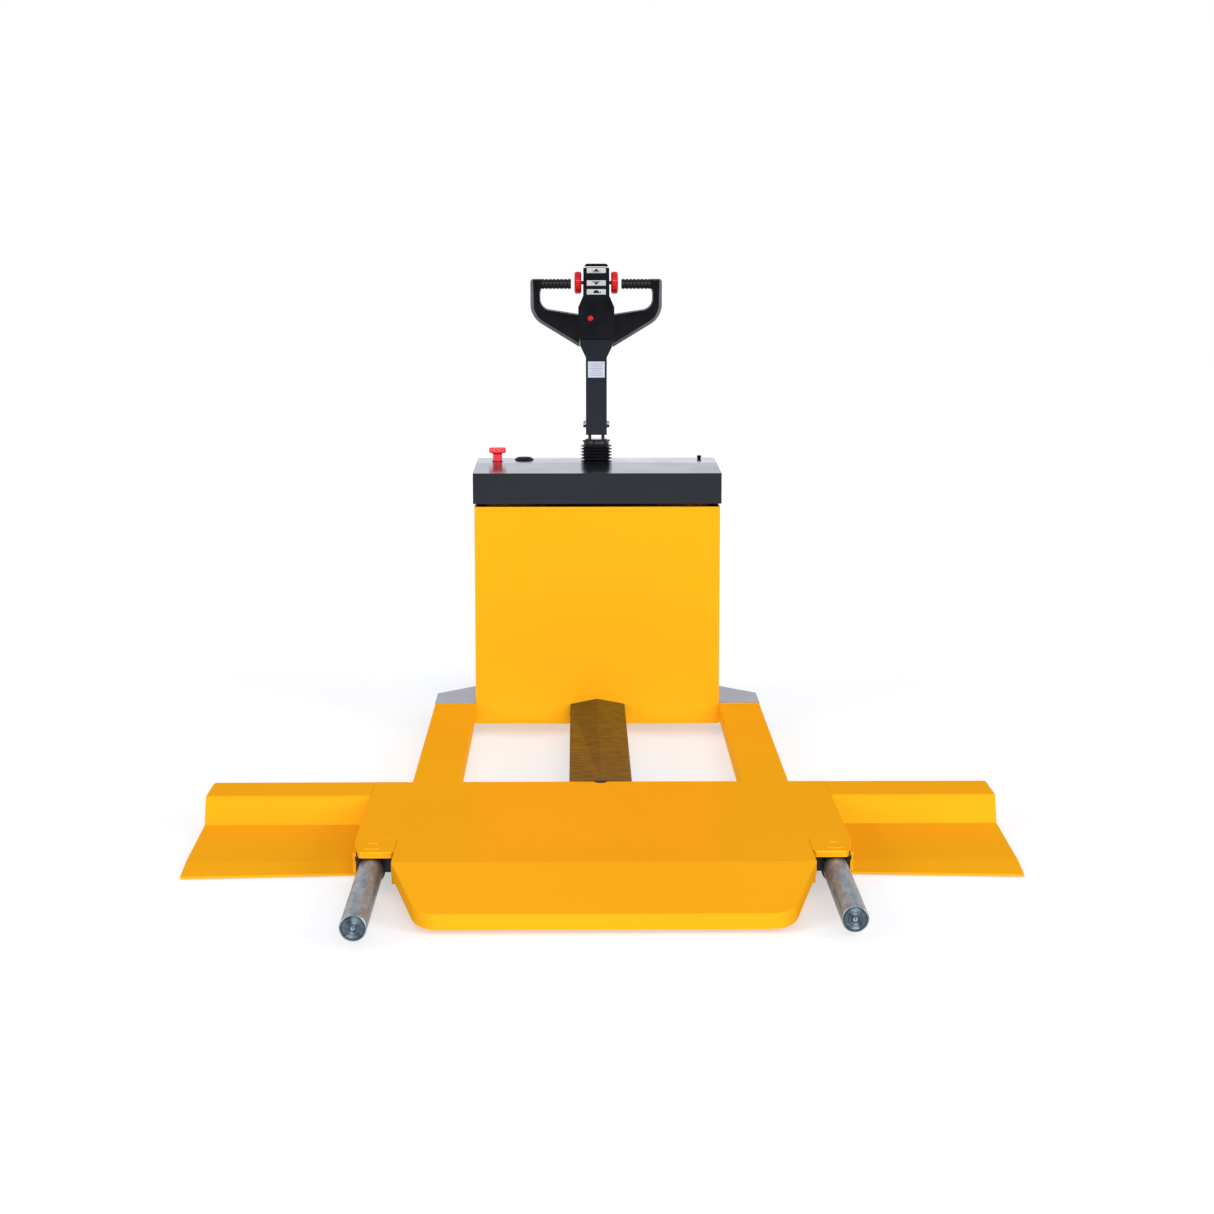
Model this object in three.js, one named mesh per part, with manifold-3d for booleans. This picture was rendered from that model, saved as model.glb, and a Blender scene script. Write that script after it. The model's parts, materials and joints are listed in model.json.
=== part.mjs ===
// Low electric pallet truck with a wide platform, side trays and two forward pins.
// Millimetres, +Z up, +Y towards the driver, platform towards -Y, wheels standing on Z = 0.
// Inside the truck group Y is measured from the front face of the battery box.

import * as THREE from "three";
import Module from "manifold-3d";
import { mergeVertices } from "three/addons/utils/BufferGeometryUtils.js";

const wasm = await Module();
wasm.setup();

// ---- Driving dimensions ----------------------------------------------------------------------

const GAP = 0.3; // between pieces that touch
const PIN_REACH = 1830; // farthest point ahead of the battery box
const REAR_EDGE = 430; // farthest point behind its front face
const TOP_Z = 85; // arms, platform and tray flanges when lowered

const BOX = { halfWidth: 305, depth: 190, bottom: 34, top: 582, sheet: 4 };
const HEEL = { outer: 407, thickness: 10, bottom: 36 }; // plates that join the arms to the box
const HOOK = { inner: 262, outer: 288, back: 248, sheet: 6, bottom: 120, top: 520 };
const LIFT_BRACKET = { halfWidth: 40, back: 250, bottom: 480.5, thickness: 11 };
const BRACKET_GUSSET = 50;
const BATTERY = { inner: 5, width: 260, front: 12, depth: 165, height: 210 };

const HOOD = { halfWidth: 308, front: -3, back: 355, bottom: 590, top: 670, sheet: 2, corner: 14 };
const SHELL = { halfWidth: 304, front: 196, back: 351, sheet: 2, corner: 12, top: 667 };
const LOUVRE = { inner: 120, outer: 230, bottom: 360, pitch: 26, height: 8, rows: 5 };
const FENDER = { inner: 121, outer: 124, top: 240, sheet: 3 };
const BASE = { bottom: 75, outer: 408, front: 12, straight: 140, waist: 318, waistY: 235 };
const GUARD = { inner: 119, outer: 127, bottom: 45, ringStart: 30 };
const POST = { inner: 240, outer: 280, front: 200, back: 240, top: 667.7 };
const TURRET = { front: 197, back: 346, bottom: 232, top: 244, tubeTop: 300, tubeRadius: 38 };

const STEER_Y = 303; // steering axis
const WHEEL_BAY = 112;
const STEM_RADIUS = 24;
const DRIVE = { radius: 100, halfWidth: 35, rim: 68, hubHalfWidth: 38, axle: 10 };
const YOKE = { crown: 60, bottom: 206, top: 220, inner: 45, outer: 57, halfDepth: 35, foot: 62 };
const BARREL = { y: 225, radius: 22, bore: 12.6, bottom: 244.3, top: 430, endWall: 12 };
const LIFT_ROD = { radius: 12, bottom: 340, top: 480.2 };
const BEARING = { outer: 42, height: 11.4 };
const PUMP = { x: -150, y: 290, radius: 45, top: 420 };
const TANK = { inner: 100, outer: 225, front: 256, back: 345, top: 400 };
const CONTROLLER = { inner: 60, outer: 210, front: 288, bottom: 500, top: 580 };

const CASTER = { x: 362, y: 70, trail: 16, radius: 28, halfWidth: 11, axle: 4 };
const CASTER_PLATE = { radius: 24, bottom: 59 };

// Controls on the hood.
const ESTOP = { x: -255, y: 264, stem: 12, cap: 22.5, foot: 645, top: 706, capHeight: 15 };
const ESTOP_BLOCK = { side: 20, front: 17, bottom: 612, well: 630 };
const KEY = { x: 268, y: 330, hole: 5, spindle: 3, barrel: 10, foot: 652, height: 8.5 };
const KEY_BARREL = { bottom: 640, well: 650 };
const GAUGE = { x: -187, y: 304, radius: 25, height: 6, bevel: 5 };

const ARM = { inner: 305.3, outer: 407, bottom: 45, sheet: 6 };
const DECK = { back: -860, fold: -1530, front: -1727, halfWidth: 487, thickness: 12 };
const NOSE = { backHalfWidth: 404, frontHalfWidth: 357, corner: 52, frontTop: 40, frontBottom: 10 };
const NOSE_SHEET = { top: 10, rim: 9, foldBottom: 60 };
const SKIRT = { sheet: 4.5, bottom: 20 };
const NOTCH_RADIUS = 14;
const TRAY = { outer: 835, flange: 125, faceRun: 27, faceFoot: 27, lipStart: -1267, sheet: 5 };
const TRAY_LIP = { innerY: -1320, outerY: -1345, startZ: 15, edgeZ: 7 };
const SPINE = { halfWidth: 68, ridge: 98, bottom: 45, sheet: 4 };
const SOCKET = { x: 450, z: 45, inner: 410, outer: 481.7, bottom: 14, mouth: -1440, back: -960 };
const TAB = { back: -1353, front: -1453 };
const TAB_SLOT = { inner: 428, outer: 472, front: -1390, back: -1386, depth: 9 };
const MOUTH = { margin: 4, depth: 65, roof: 3, floor: 5 };
const PIN = { radius: 25, length: 560, rightStop: 46, chamfer: 3 };
const RAIL = { back: -862, front: -1480, bottom: 28, top: 72.6, sheet: 6 };

const ROLLER = { x: 356, pivotY: -1230, pivotZ: 38, y: -1400, radius: 30, halfWidth: 28 };
const CHEEK = { radius: 14, thickness: 8, inner: 30, outer: 38 };
const SWING_PIN = { radius: 7, bore: 7.5, sleeve: 10 };
const ROLLER_AXLE = 8;
const LUG = { height: 17, pin: 3.5, hole: 6 };
const PUSH_ROD = { radius: 7, back: -30 };

const TILLER = { pivotZ: 762, bottom: 736, neck: 935, flare: 966, shoulder: 984, width: 54, depth: 50 };
const TILLER_WALL = 4;
const CLEVIS = { inner: 13, outer: 21, radius: 15, foot: 28 };
const BOLT = { radius: 6, shank: 28, head: 9.5, end: 34 };
const BOOT = { radius: 41, valley: 33, pleats: 5, top: 722 };
const HEAD = { halfDepth: 25, waist: 1063, towerFoot: 1092, top: 1174, block: 43, tower: 30 };
const HANDLE = { outer: 168, halfDepth: 14, rootZ: 962, webZ: 1043, gripZ: 1122, gripRadius: 12.4 };
const GRIP_SPAN = { inner: 64.5, outer: 142 };
const THROTTLE = { z: 1125, inner: 38, outer: 56, radius: 28.5, shaft: 4.5 };
const LOOP = { outerZ: 1070, outerRadius: 58, innerX: 115, innerZ: 1085, innerRadius: 30, cornerRadius: 7 };
const STRIP = { halfWidth: 24.5, height: 14, depth: 6, proud: 1.5, gap: 1.5 };
const STRIP_Z = { raise_button: 1157, lower_button: 1125, creep_button: 1102.5 };
const HORN = { x: -15, z: 1035, radius: 7 };
const BELLY = { height: 9, travel: 4, corner: 5, stemX: 10, stemY: 8 };
const GRIP = { ribs: 7, bore: 8.4, core: 8, groove: 1.4, rise: 0.6 };
const THROTTLE_Y = 8; // throttle shaft behind the tiller's middle plane

// ---- Finishes --------------------------------------------------------------------------------

const finish = (color, roughness, metalness = 0) =>
  new THREE.MeshStandardMaterial({ color, roughness, metalness });
const yellowPaint = () => finish(0xfbb114, 0.35);
const blackPaint = () => finish(0x26282c, 0.35);
const blackPlastic = () => finish(0x1b1a1e, 0.55);
const redPlastic = () => finish(0xe3262b, 0.4);
const rubber = () => finish(0x161616, 0.8);
const steel = () => finish(0x9a9a96, 0.4, 0.9);
const greyPlastic = () => finish(0xbdc2c6, 0.5);
const caseGrey = () => finish(0x4a4d52, 0.6);

// ---- Solids ----------------------------------------------------------------------------------

function solidOf(geometry) {
  geometry.deleteAttribute("normal");
  geometry.deleteAttribute("uv");
  const merged = mergeVertices(geometry, 1e-4);
  const corners = merged.index.array;
  const kept = [];
  for (let i = 0; i < corners.length; i += 3) {
    const [a, b, c] = [corners[i], corners[i + 1], corners[i + 2]];
    if (a !== b && b !== c && c !== a) kept.push(a, b, c);
  }
  const vertProperties = new Float32Array(merged.attributes.position.array);
  return new wasm.Manifold(
    new wasm.Mesh({ numProp: 3, vertProperties, triVerts: new Uint32Array(kept) }),
  );
}

function geometryOf(solid) {
  const mesh = solid.getMesh();
  const geometry = new THREE.BufferGeometry();
  geometry.setAttribute("position", new THREE.BufferAttribute(mesh.vertProperties, 3));
  geometry.setIndex(new THREE.BufferAttribute(mesh.triVerts, 1));
  return geometry;
}

const join = (...solids) => solids.reduce((all, next) => all.add(next));
const cut = (solid, ...tools) => tools.reduce((rest, tool) => rest.subtract(tool), solid);

const X = new THREE.Vector3(1, 0, 0);
const Y = new THREE.Vector3(0, 1, 0);
const Z = new THREE.Vector3(0, 0, 1);
const ALONG = {
  x: new THREE.Matrix4().makeBasis(Y, Z, X),
  y: new THREE.Matrix4().makeBasis(Z, X, Y),
  z: new THREE.Matrix4(),
};

// An outline swept along an axis. Its points are [y, z] for x, [x, z] for y and [x, y] for z.
function prism(axis, outline, from, to) {
  const shape = new THREE.Shape(
    outline.map(([a, b]) => (axis === "y" ? new THREE.Vector2(b, a) : new THREE.Vector2(a, b))),
  );
  const geometry = new THREE.ExtrudeGeometry(shape, { depth: to - from, bevelEnabled: false });
  geometry.translate(0, 0, from);
  return solidOf(geometry.applyMatrix4(ALONG[axis]));
}

// Points round a circle, in degrees from the first axis of the plane.
function arc(a, b, radius, from, to, steps) {
  return Array.from({ length: steps + 1 }, (_, i) => {
    const angle = THREE.MathUtils.degToRad(from + ((to - from) * i) / steps);
    return [a + radius * Math.cos(angle), b + radius * Math.sin(angle)];
  });
}

const circle = (a, b, radius, sides) => arc(a, b, radius, 0, 360, sides).slice(1);
const rod = (axis, radius, from, to, [a, b] = [0, 0], sides = 20) =>
  prism(axis, circle(a, b, radius, sides), from, to);

// Corner positions of a box as [from, to] pairs.
function block([x0, x1], [y0, y1], [z0, z1]) {
  const geometry = new THREE.BoxGeometry(x1 - x0, y1 - y0, z1 - z0);
  return solidOf(geometry.translate((x0 + x1) / 2, (y0 + y1) / 2, (z0 + z1) / 2));
}

// A ring or disc turned about the X or Z axis from [radius, along] points.
function turned(axis, profile, sides = 24) {
  const points = profile.map(([radius, along]) => new THREE.Vector2(radius, along));
  const geometry = new THREE.LatheGeometry(points, sides);
  if (axis === "x") geometry.rotateZ(-Math.PI / 2);
  else geometry.rotateX(Math.PI / 2);
  return solidOf(geometry);
}

const THROUGH = 1000; // a cutting tool that passes right through
const wide = (halfWidth) => [-halfWidth, halfWidth];
const across = (side, inner, outer) => (side > 0 ? [inner, outer] : [-outer, -inner]);
const label = (side) => (side > 0 ? "right" : "left");
const mirrored = (half) => [...half, ...half.map(([x, other]) => [-x, other]).reverse()];

function piece(group, name, solid, material, place = [0, 0, 0]) {
  const mesh = new THREE.Mesh(geometryOf(solid), material);
  mesh.name = name;
  mesh.position.set(...place);
  group.add(mesh);
}

// ---- Chassis: everything that stays at floor level on the drive wheel and casters -------------

function basePlate() {
  const half = [
    [BASE.outer, BASE.front],
    [BASE.outer, BASE.straight],
    [BASE.waist, BASE.waistY],
    [HOOD.halfWidth, BASE.waistY + 12],
    [HOOD.halfWidth, SHELL.back],
    ...arc(0, STEER_Y, GUARD.outer, 35, 90, 6),
  ];
  const plate = prism("z", mirrored(half), BASE.bottom, TOP_Z);
  const pocket = block(wide(BOX.halfWidth + 2), [-1, BOX.depth + 3], [0, THROUGH]);
  const guardRing = cut(
    rod("z", GUARD.outer, GUARD.bottom, BASE.bottom + 1, [0, STEER_Y], 36),
    rod("z", GUARD.inner, 0, THROUGH, [0, STEER_Y], 36),
    block(wide(GUARD.outer + 1), [STEER_Y - GUARD.outer - 1, STEER_Y + GUARD.ringStart], [0, THROUGH]),
  );
  return cut(join(plate, guardRing), pocket, rod("z", WHEEL_BAY, 0, THROUGH, [0, STEER_Y], 36));
}

function turretPlate() {
  const { front, back, bottom, top, tubeTop, tubeRadius } = TURRET;
  const plate = block(wide(POST.inner - GAP), [front, back], [bottom, top]);
  const tube = rod("z", tubeRadius, bottom, tubeTop, [0, STEER_Y], 28);
  return cut(join(plate, tube), rod("z", STEM_RADIUS + 2, 0, THROUGH, [0, STEER_Y], 28));
}

// A plan outline that is square in front and has round corners behind.
function roundBackPlan(halfWidth, front, back, corner) {
  const half = [
    [halfWidth, front],
    ...arc(halfWidth - corner, back - corner, corner, 0, 90, 4),
  ];
  return mirrored(half);
}

function hood() {
  const inside = roundBackPlan(
    HOOD.halfWidth - HOOD.sheet,
    HOOD.front + HOOD.sheet,
    HOOD.back - HOOD.sheet,
    HOOD.corner - HOOD.sheet,
  );
  const outside = roundBackPlan(HOOD.halfWidth, HOOD.front, HOOD.back, HOOD.corner);
  return cut(
    prism("z", outside, HOOD.bottom, HOOD.top),
    prism("z", inside, HOOD.bottom - 1, HOOD.top - HOOD.sheet),
    rod("z", STEM_RADIUS + 3, 0, THROUGH, [0, STEER_Y]),
    rod("z", ESTOP.stem + 2 * GAP, 0, THROUGH, [ESTOP.x, ESTOP.y]),
    rod("z", KEY.hole, 0, THROUGH, [KEY.x, KEY.y], 16),
  );
}

function rearShell() {
  const outside = roundBackPlan(SHELL.halfWidth, SHELL.front, SHELL.back, SHELL.corner);
  const inside = roundBackPlan(
    SHELL.halfWidth - SHELL.sheet,
    SHELL.front - 1,
    SHELL.back - SHELL.sheet,
    SHELL.corner - SHELL.sheet,
  );
  const backWall = [SHELL.back - SHELL.corner + 1, SHELL.back + 1];
  const shell = cut(
    prism("z", outside, TOP_Z + GAP, SHELL.top),
    prism("z", inside, 0, THROUGH),
    block(wide(FENDER.outer), backWall, [0, FENDER.top + SHELL.sheet]),
  );
  const louvres = [-1, 1].flatMap((side) =>
    Array.from({ length: LOUVRE.rows }, (_, row) => {
      const z = LOUVRE.bottom + row * LOUVRE.pitch;
      return block(across(side, LOUVRE.inner, LOUVRE.outer), backWall, [z, z + LOUVRE.height]);
    }),
  );
  return cut(shell, ...louvres);
}

function wheelFender() {
  const dome = rod("z", FENDER.outer, TOP_Z + GAP, FENDER.top, [0, STEER_Y], 36);
  const inside = rod("z", FENDER.inner, 0, FENDER.top - FENDER.sheet, [0, STEER_Y], 36);
  const front = block(wide(FENDER.outer + 1), [0, SHELL.back + GAP], [0, THROUGH]);
  return cut(dome, inside, front);
}

function chassisPieces(group) {
  piece(group, "base_plate", basePlate(), blackPaint());
  for (const side of [-1, 1]) {
    const width = across(side, POST.inner, POST.outer);
    const post = block(width, [POST.front, POST.back], [TOP_Z + GAP, POST.top]);
    piece(group, "upright_" + label(side), post, blackPaint());
  }
  piece(group, "turret_plate", turretPlate(), blackPaint());
  const race = [
    [STEM_RADIUS + 2, 0],
    [BEARING.outer, 0],
    [BEARING.outer, BEARING.height],
    [STEM_RADIUS + 2, BEARING.height],
    [STEM_RADIUS + 2, 0],
  ];
  piece(group, "steer_bearing", turned("z", race), steel(), [0, STEER_Y, YOKE.top + GAP]);
  piece(group, "hood", hood(), blackPaint());
  piece(group, "rear_cover", rearShell(), blackPaint());
  piece(group, "wheel_fender", wheelFender(), blackPaint());

  const barrel = cut(
    rod("z", BARREL.radius, BARREL.bottom, BARREL.top, [0, BARREL.y]),
    rod("z", BARREL.bore, BARREL.bottom + BARREL.endWall, BARREL.top + 1, [0, BARREL.y]),
  );
  piece(group, "lift_cylinder", barrel, steel());
  const deckZ = TURRET.top + GAP;
  const motor = rod("z", PUMP.radius, deckZ, PUMP.top, [PUMP.x, PUMP.y]);
  piece(group, "pump_motor", motor, blackPaint());
  const tank = block([TANK.inner, TANK.outer], [TANK.front, TANK.back], [deckZ, TANK.top]);
  piece(group, "hydraulic_tank", tank, greyPlastic());
  const controller = block(
    [CONTROLLER.inner, CONTROLLER.outer],
    [CONTROLLER.front, SHELL.back - SHELL.sheet - GAP],
    [CONTROLLER.bottom, CONTROLLER.top],
  );
  piece(group, "motor_controller", controller, caseGrey());

  const roof = HOOD.top - HOOD.sheet - GAP;
  const { side, front } = ESTOP_BLOCK;
  const contactBlock = cut(
    block([ESTOP.x - side, ESTOP.x + side], [ESTOP.y - front, ESTOP.y + side], [ESTOP_BLOCK.bottom, roof]),
    rod("z", ESTOP.stem + 2 * GAP, ESTOP_BLOCK.well, THROUGH, [ESTOP.x, ESTOP.y]),
  );
  piece(group, "estop_switch", contactBlock, blackPlastic());
  const keyBarrel = cut(
    rod("z", KEY.barrel, KEY_BARREL.bottom, roof, [KEY.x, KEY.y], 16),
    rod("z", KEY.spindle + GAP, KEY_BARREL.well, THROUGH, [KEY.x, KEY.y], 16),
  );
  piece(group, "key_switch", keyBarrel, blackPlastic());
  const gauge = [
    [0, 0],
    [GAUGE.radius, 0],
    [GAUGE.radius, GAUGE.height - GAUGE.bevel / 2],
    [GAUGE.radius - GAUGE.bevel, GAUGE.height],
    [0, GAUGE.height],
  ];
  const gaugePlace = [GAUGE.x, GAUGE.y, HOOD.top + GAP];
  piece(group, "battery_gauge", turned("z", gauge), blackPlastic(), gaugePlace);
}

function estopKnob() {
  const capFoot = ESTOP.top - ESTOP.capHeight;
  const profile = [
    [0, ESTOP.foot],
    [ESTOP.stem, ESTOP.foot],
    [ESTOP.stem, capFoot - 2],
    [ESTOP.cap - 4, capFoot],
    [ESTOP.cap, capFoot + 4],
    [ESTOP.cap, ESTOP.top - 4],
    [ESTOP.cap - 4, ESTOP.top],
    [0, ESTOP.top],
  ];
  return turned("z", profile);
}

function keyKnob() {
  const profile = [
    [0, KEY.foot],
    [KEY.spindle, KEY.foot],
    [KEY.spindle, HOOD.top + GAP],
    [KEY.hole - 0.5, HOOD.top + GAP],
    [KEY.hole + 1, HOOD.top + KEY.height - 1.5],
    [KEY.hole, HOOD.top + KEY.height],
    [0, HOOD.top + KEY.height],
  ];
  return turned("z", profile, 16);
}

// ---- Stabiliser casters ------------------------------------------------------------------------

function casterFork() {
  const legs = [-1, 1].map((side) =>
    prism(
      "x",
      [[-14, 38], [14, 38], [CASTER.trail + 8, 0], [CASTER.trail - 8, 0]].map(([y, z]) => [
        y,
        z + CASTER.radius - 6,
      ]),
      ...across(side, CASTER.halfWidth + 2, CASTER.halfWidth + 6),
    ),
  );
  const plate = rod("z", CASTER_PLATE.radius, CASTER_PLATE.bottom, BASE.bottom - GAP);
  const axle = rod("x", CASTER.axle, ...wide(CASTER.halfWidth + 6), [CASTER.trail, CASTER.radius], 16);
  return join(plate, axle, ...legs);
}

function casterWheel() {
  const { radius, halfWidth, axle } = CASTER;
  const bore = axle + 0.5;
  const profile = [
    [bore, -halfWidth],
    [radius - 4, -halfWidth],
    [radius, -halfWidth + 4],
    [radius, halfWidth - 4],
    [radius - 4, halfWidth],
    [bore, halfWidth],
    [bore, -halfWidth],
  ];
  return turned("x", profile);
}

// ---- Fork frame: the yellow load carrier that rises over the chassis ---------------------------

function batteryBox() {
  const { halfWidth, depth, bottom, top, sheet } = BOX;
  const body = cut(
    block(wide(halfWidth), [0, depth], [bottom, top]),
    block(wide(halfWidth - sheet), [sheet, depth - sheet], [bottom + sheet, top + 1]),
  );
  const hookHeight = [HOOK.bottom, HOOK.top];
  const sides = [-1, 1].flatMap((side) => [
    block(across(side, halfWidth - 1, HEEL.outer), [0, HEEL.thickness], [HEEL.bottom, TOP_Z]),
    block(across(side, HOOK.outer - HOOK.sheet, HOOK.outer), [depth - 1, HOOK.back], hookHeight),
    block(across(side, HOOK.inner, HOOK.outer), [HOOK.back - HOOK.sheet, HOOK.back], hookHeight),
  ]);
  const bracketTop = LIFT_BRACKET.bottom + LIFT_BRACKET.thickness;
  const bracket = block(
    wide(LIFT_BRACKET.halfWidth),
    [depth - 1, LIFT_BRACKET.back],
    [LIFT_BRACKET.bottom, bracketTop],
  );
  const gussets = [-1, 1].map((side) =>
    prism(
      "x",
      [
        [depth - 1, bracketTop - 1],
        [LIFT_BRACKET.back, bracketTop - 1],
        [depth - 1, bracketTop + BRACKET_GUSSET],
      ],
      ...across(side, LIFT_BRACKET.halfWidth - HOOK.sheet, LIFT_BRACKET.halfWidth),
    ),
  );
  return join(body, bracket, ...sides, ...gussets);
}

// An inverted channel that runs along Y.
function channel(side, { inner, outer, bottom, top, sheet }, from, to) {
  return cut(
    block(across(side, inner, outer), [from, to], [bottom, top]),
    block(across(side, inner + sheet, outer - sheet), [from - 1, to + 1], [bottom - 1, top - sheet]),
  );
}

function rail(side) {
  const { pivotY, pivotZ } = ROLLER;
  const section = { ...ARM, ...RAIL };
  const width = across(side, ARM.inner + 2, ARM.outer - 2);
  const pivotPin = rod("x", SWING_PIN.radius, ...width, [pivotY, pivotZ], 16);
  const body = channel(side, section, RAIL.front, RAIL.back);
  return join(body, pivotPin);
}

function spine() {
  const roof = (halfWidth, shoulder, ridge, bottom) => [
    [-halfWidth, bottom],
    [halfWidth, bottom],
    [halfWidth, shoulder],
    [0, ridge],
    [-halfWidth, shoulder],
  ];
  const { halfWidth, ridge, bottom, sheet } = SPINE;
  return cut(
    prism("y", roof(halfWidth, TOP_Z, ridge, bottom), DECK.back + GAP, -GAP),
    prism("y", roof(halfWidth - sheet, TOP_Z - sheet, ridge - sheet, bottom - 1), DECK.back - 1, 1),
  );
}

function noseOutline(inset) {
  const { backHalfWidth, frontHalfWidth, corner } = NOSE;
  const front = DECK.front + inset;
  const radius = corner - inset;
  const half = [
    [backHalfWidth - inset, DECK.fold],
    ...arc(frontHalfWidth - corner, front + radius, radius, -14, -90, 6),
  ];
  return mirrored(half);
}

function nose() {
  const topLine = [[DECK.fold, TOP_Z], [DECK.front, NOSE.frontTop]];
  const profile = [...topLine, [DECK.front, NOSE.frontBottom], [DECK.fold, NOSE_SHEET.foldBottom]];
  const under = [
    [DECK.fold + 1, TOP_Z - NOSE_SHEET.top],
    [DECK.front, NOSE.frontTop - NOSE_SHEET.top],
    [DECK.front, 0],
    [DECK.fold + 1, 0],
  ];
  const upTo = (outline) => prism("z", outline, 0, THROUGH);
  const body = prism("x", profile, ...wide(DECK.halfWidth)).intersect(upTo(noseOutline(0)));
  const pocket = prism("x", under, ...wide(DECK.halfWidth)).intersect(upTo(noseOutline(NOSE_SHEET.rim)));
  return cut(body, pocket);
}

function deckPlate() {
  const { halfWidth, back, fold, thickness } = DECK;
  const half = [
    [halfWidth, back],
    [halfWidth, TAB.back],
    [NOSE.backHalfWidth, TAB.back],
    [NOSE.backHalfWidth, fold - 0.5],
  ];
  const plate = prism("z", mirrored(half), TOP_Z - thickness, TOP_Z);
  const skirts = [-1, 1].map((side) =>
    block(
      across(side, halfWidth - SKIRT.sheet, halfWidth),
      [TAB.back, back - TRAY.flange],
      [SKIRT.bottom, TOP_Z - 1],
    ),
  );
  const notch = rod("z", NOTCH_RADIUS, 0, THROUGH, [0, back]);
  return cut(join(plate, nose(), ...skirts), notch);
}

// A bent plate: top flange, steep face, gently falling shelf and a bevelled lip.
function tray(side) {
  const flangeEnd = DECK.back - TRAY.flange;
  const upper = [
    [DECK.back, TOP_Z],
    [flangeEnd, TOP_Z],
    [flangeEnd - TRAY.faceRun, TRAY.faceFoot],
    [TRAY.lipStart, TRAY_LIP.startZ],
    [TRAY_LIP.innerY, TRAY_LIP.edgeZ],
  ];
  const lower = upper.map(([y, z]) => [y, z - TRAY.sheet]).reverse();
  const faceOffset = TRAY.sheet * 0.62;
  lower[2][0] += TRAY.sheet;
  lower[3][0] += faceOffset;
  const solid = prism("x", [...upper, ...lower], ...across(side, DECK.halfWidth + GAP, TRAY.outer));
  const flare = (TRAY_LIP.outerY - TRAY_LIP.innerY) / (TRAY.outer - DECK.halfWidth);
  return solid.warp((vertex) => {
    if (vertex[1] < TRAY_LIP.innerY + 1) vertex[1] += flare * (Math.abs(vertex[0]) - DECK.halfWidth);
  });
}

function pinSocket(side) {
  const { inner, outer, bottom, mouth, back } = SOCKET;
  const tab = block(
    across(side, NOSE.backHalfWidth + GAP, DECK.halfWidth),
    [TAB.front, TAB.back - GAP],
    [TOP_Z - DECK.thickness, TOP_Z],
  );
  const under = TOP_Z - DECK.thickness - GAP;
  const width = across(side, inner, outer);
  const web = block(width, [mouth, TAB.back - 5], [under - 2, TOP_Z - DECK.thickness + 2]);
  return cut(
    join(tab, web, block(width, [mouth, back], [bottom, under])),
    rod("y", PIN.radius + 0.8, mouth - 1, back + 1, [side * SOCKET.x, SOCKET.z]),
    block(
      across(side, inner + MOUTH.margin, outer - MOUTH.margin),
      [mouth - 1, mouth + MOUTH.depth],
      [bottom + MOUTH.floor, under - MOUTH.roof],
    ),
    block(
      across(side, TAB_SLOT.inner, TAB_SLOT.outer),
      [TAB_SLOT.front, TAB_SLOT.back],
      [TOP_Z - TAB_SLOT.depth, THROUGH],
    ),
  );
}

function pinBar() {
  const { radius, length, chamfer } = PIN;
  const profile = [[0, 0], [radius - chamfer, 0], [radius, chamfer], [radius, length], [0, length]];
  return turned("z", profile, 32);
}

function forkFramePieces(group) {
  piece(group, "battery_box", batteryBox(), yellowPaint());
  const floor = BOX.bottom + BOX.sheet + GAP;
  for (const side of [-1, 1]) {
    const name = label(side);
    const battery = block(
      across(side, BATTERY.inner, BATTERY.inner + BATTERY.width),
      [BATTERY.front, BATTERY.front + BATTERY.depth],
      [floor, floor + BATTERY.height],
    );
    piece(group, "battery_" + name, battery, caseGrey());
    const arm = channel(side, { ...ARM, top: TOP_Z }, DECK.back + GAP, -GAP);
    piece(group, "arm_" + name, arm, yellowPaint());
    piece(group, "rail_" + name, rail(side), yellowPaint());
    piece(group, "tray_" + name, tray(side), yellowPaint());
    piece(group, "pin_socket_" + name, pinSocket(side), yellowPaint());
  }
  piece(group, "deck_plate", deckPlate(), yellowPaint());
  piece(group, "spine_cover", spine(), blackPaint());
  const liftRod = rod("z", LIFT_ROD.radius, LIFT_ROD.bottom, LIFT_ROD.top, [0, BARREL.y]);
  piece(group, "lift_rod", liftRod, steel());
}

// ---- Load rollers, their swinging brackets and the push rods -----------------------------------

function rollerBracket(side) {
  const { pivotY, pivotZ, y, radius, x } = ROLLER;
  const { inner, outer, thickness } = CHEEK;
  const cheek = [
    ...arc(pivotY, pivotZ, CHEEK.radius, -90, 90, 6),
    ...arc(y, radius, CHEEK.radius, 90, 270, 6),
  ];
  const cheeks = [inner, -outer].map((offset) =>
    prism("x", cheek, ...across(side, x + offset, x + offset + thickness)),
  );
  const sleeves = [
    rod("x", SWING_PIN.sleeve, ...across(side, x - outer, x - 6), [pivotY, pivotZ], 16),
    rod("x", SWING_PIN.sleeve, ...across(side, x + 8, x + outer), [pivotY, pivotZ], 16),
  ];
  const lugTop = pivotZ + LUG.height;
  const lug = block(across(side, x - 16, x - 6), [pivotY - 6, pivotY + 6], [pivotZ, lugTop + 6]);
  const lugPin = rod("x", LUG.pin, ...across(side, x - 7, x + 7), [pivotY, lugTop], 12);
  const axle = rod("x", ROLLER_AXLE, ...across(side, x - outer + 1, x + outer - 1), [y, radius], 16);
  const bore = rod("x", SWING_PIN.bore, ...across(side, 0, THROUGH), [pivotY, pivotZ], 16);
  return cut(join(...cheeks, ...sleeves, lug, axle), bore).add(lugPin);
}

function loadRoller() {
  const { radius, halfWidth } = ROLLER;
  const bore = ROLLER_AXLE + 0.5;
  const profile = [
    [bore, -halfWidth],
    [radius - 3, -halfWidth],
    [radius, -halfWidth + 3],
    [radius, halfWidth - 3],
    [radius - 3, halfWidth],
    [bore, halfWidth],
    [bore, -halfWidth],
  ];
  return turned("x", profile, 28);
}

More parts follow.
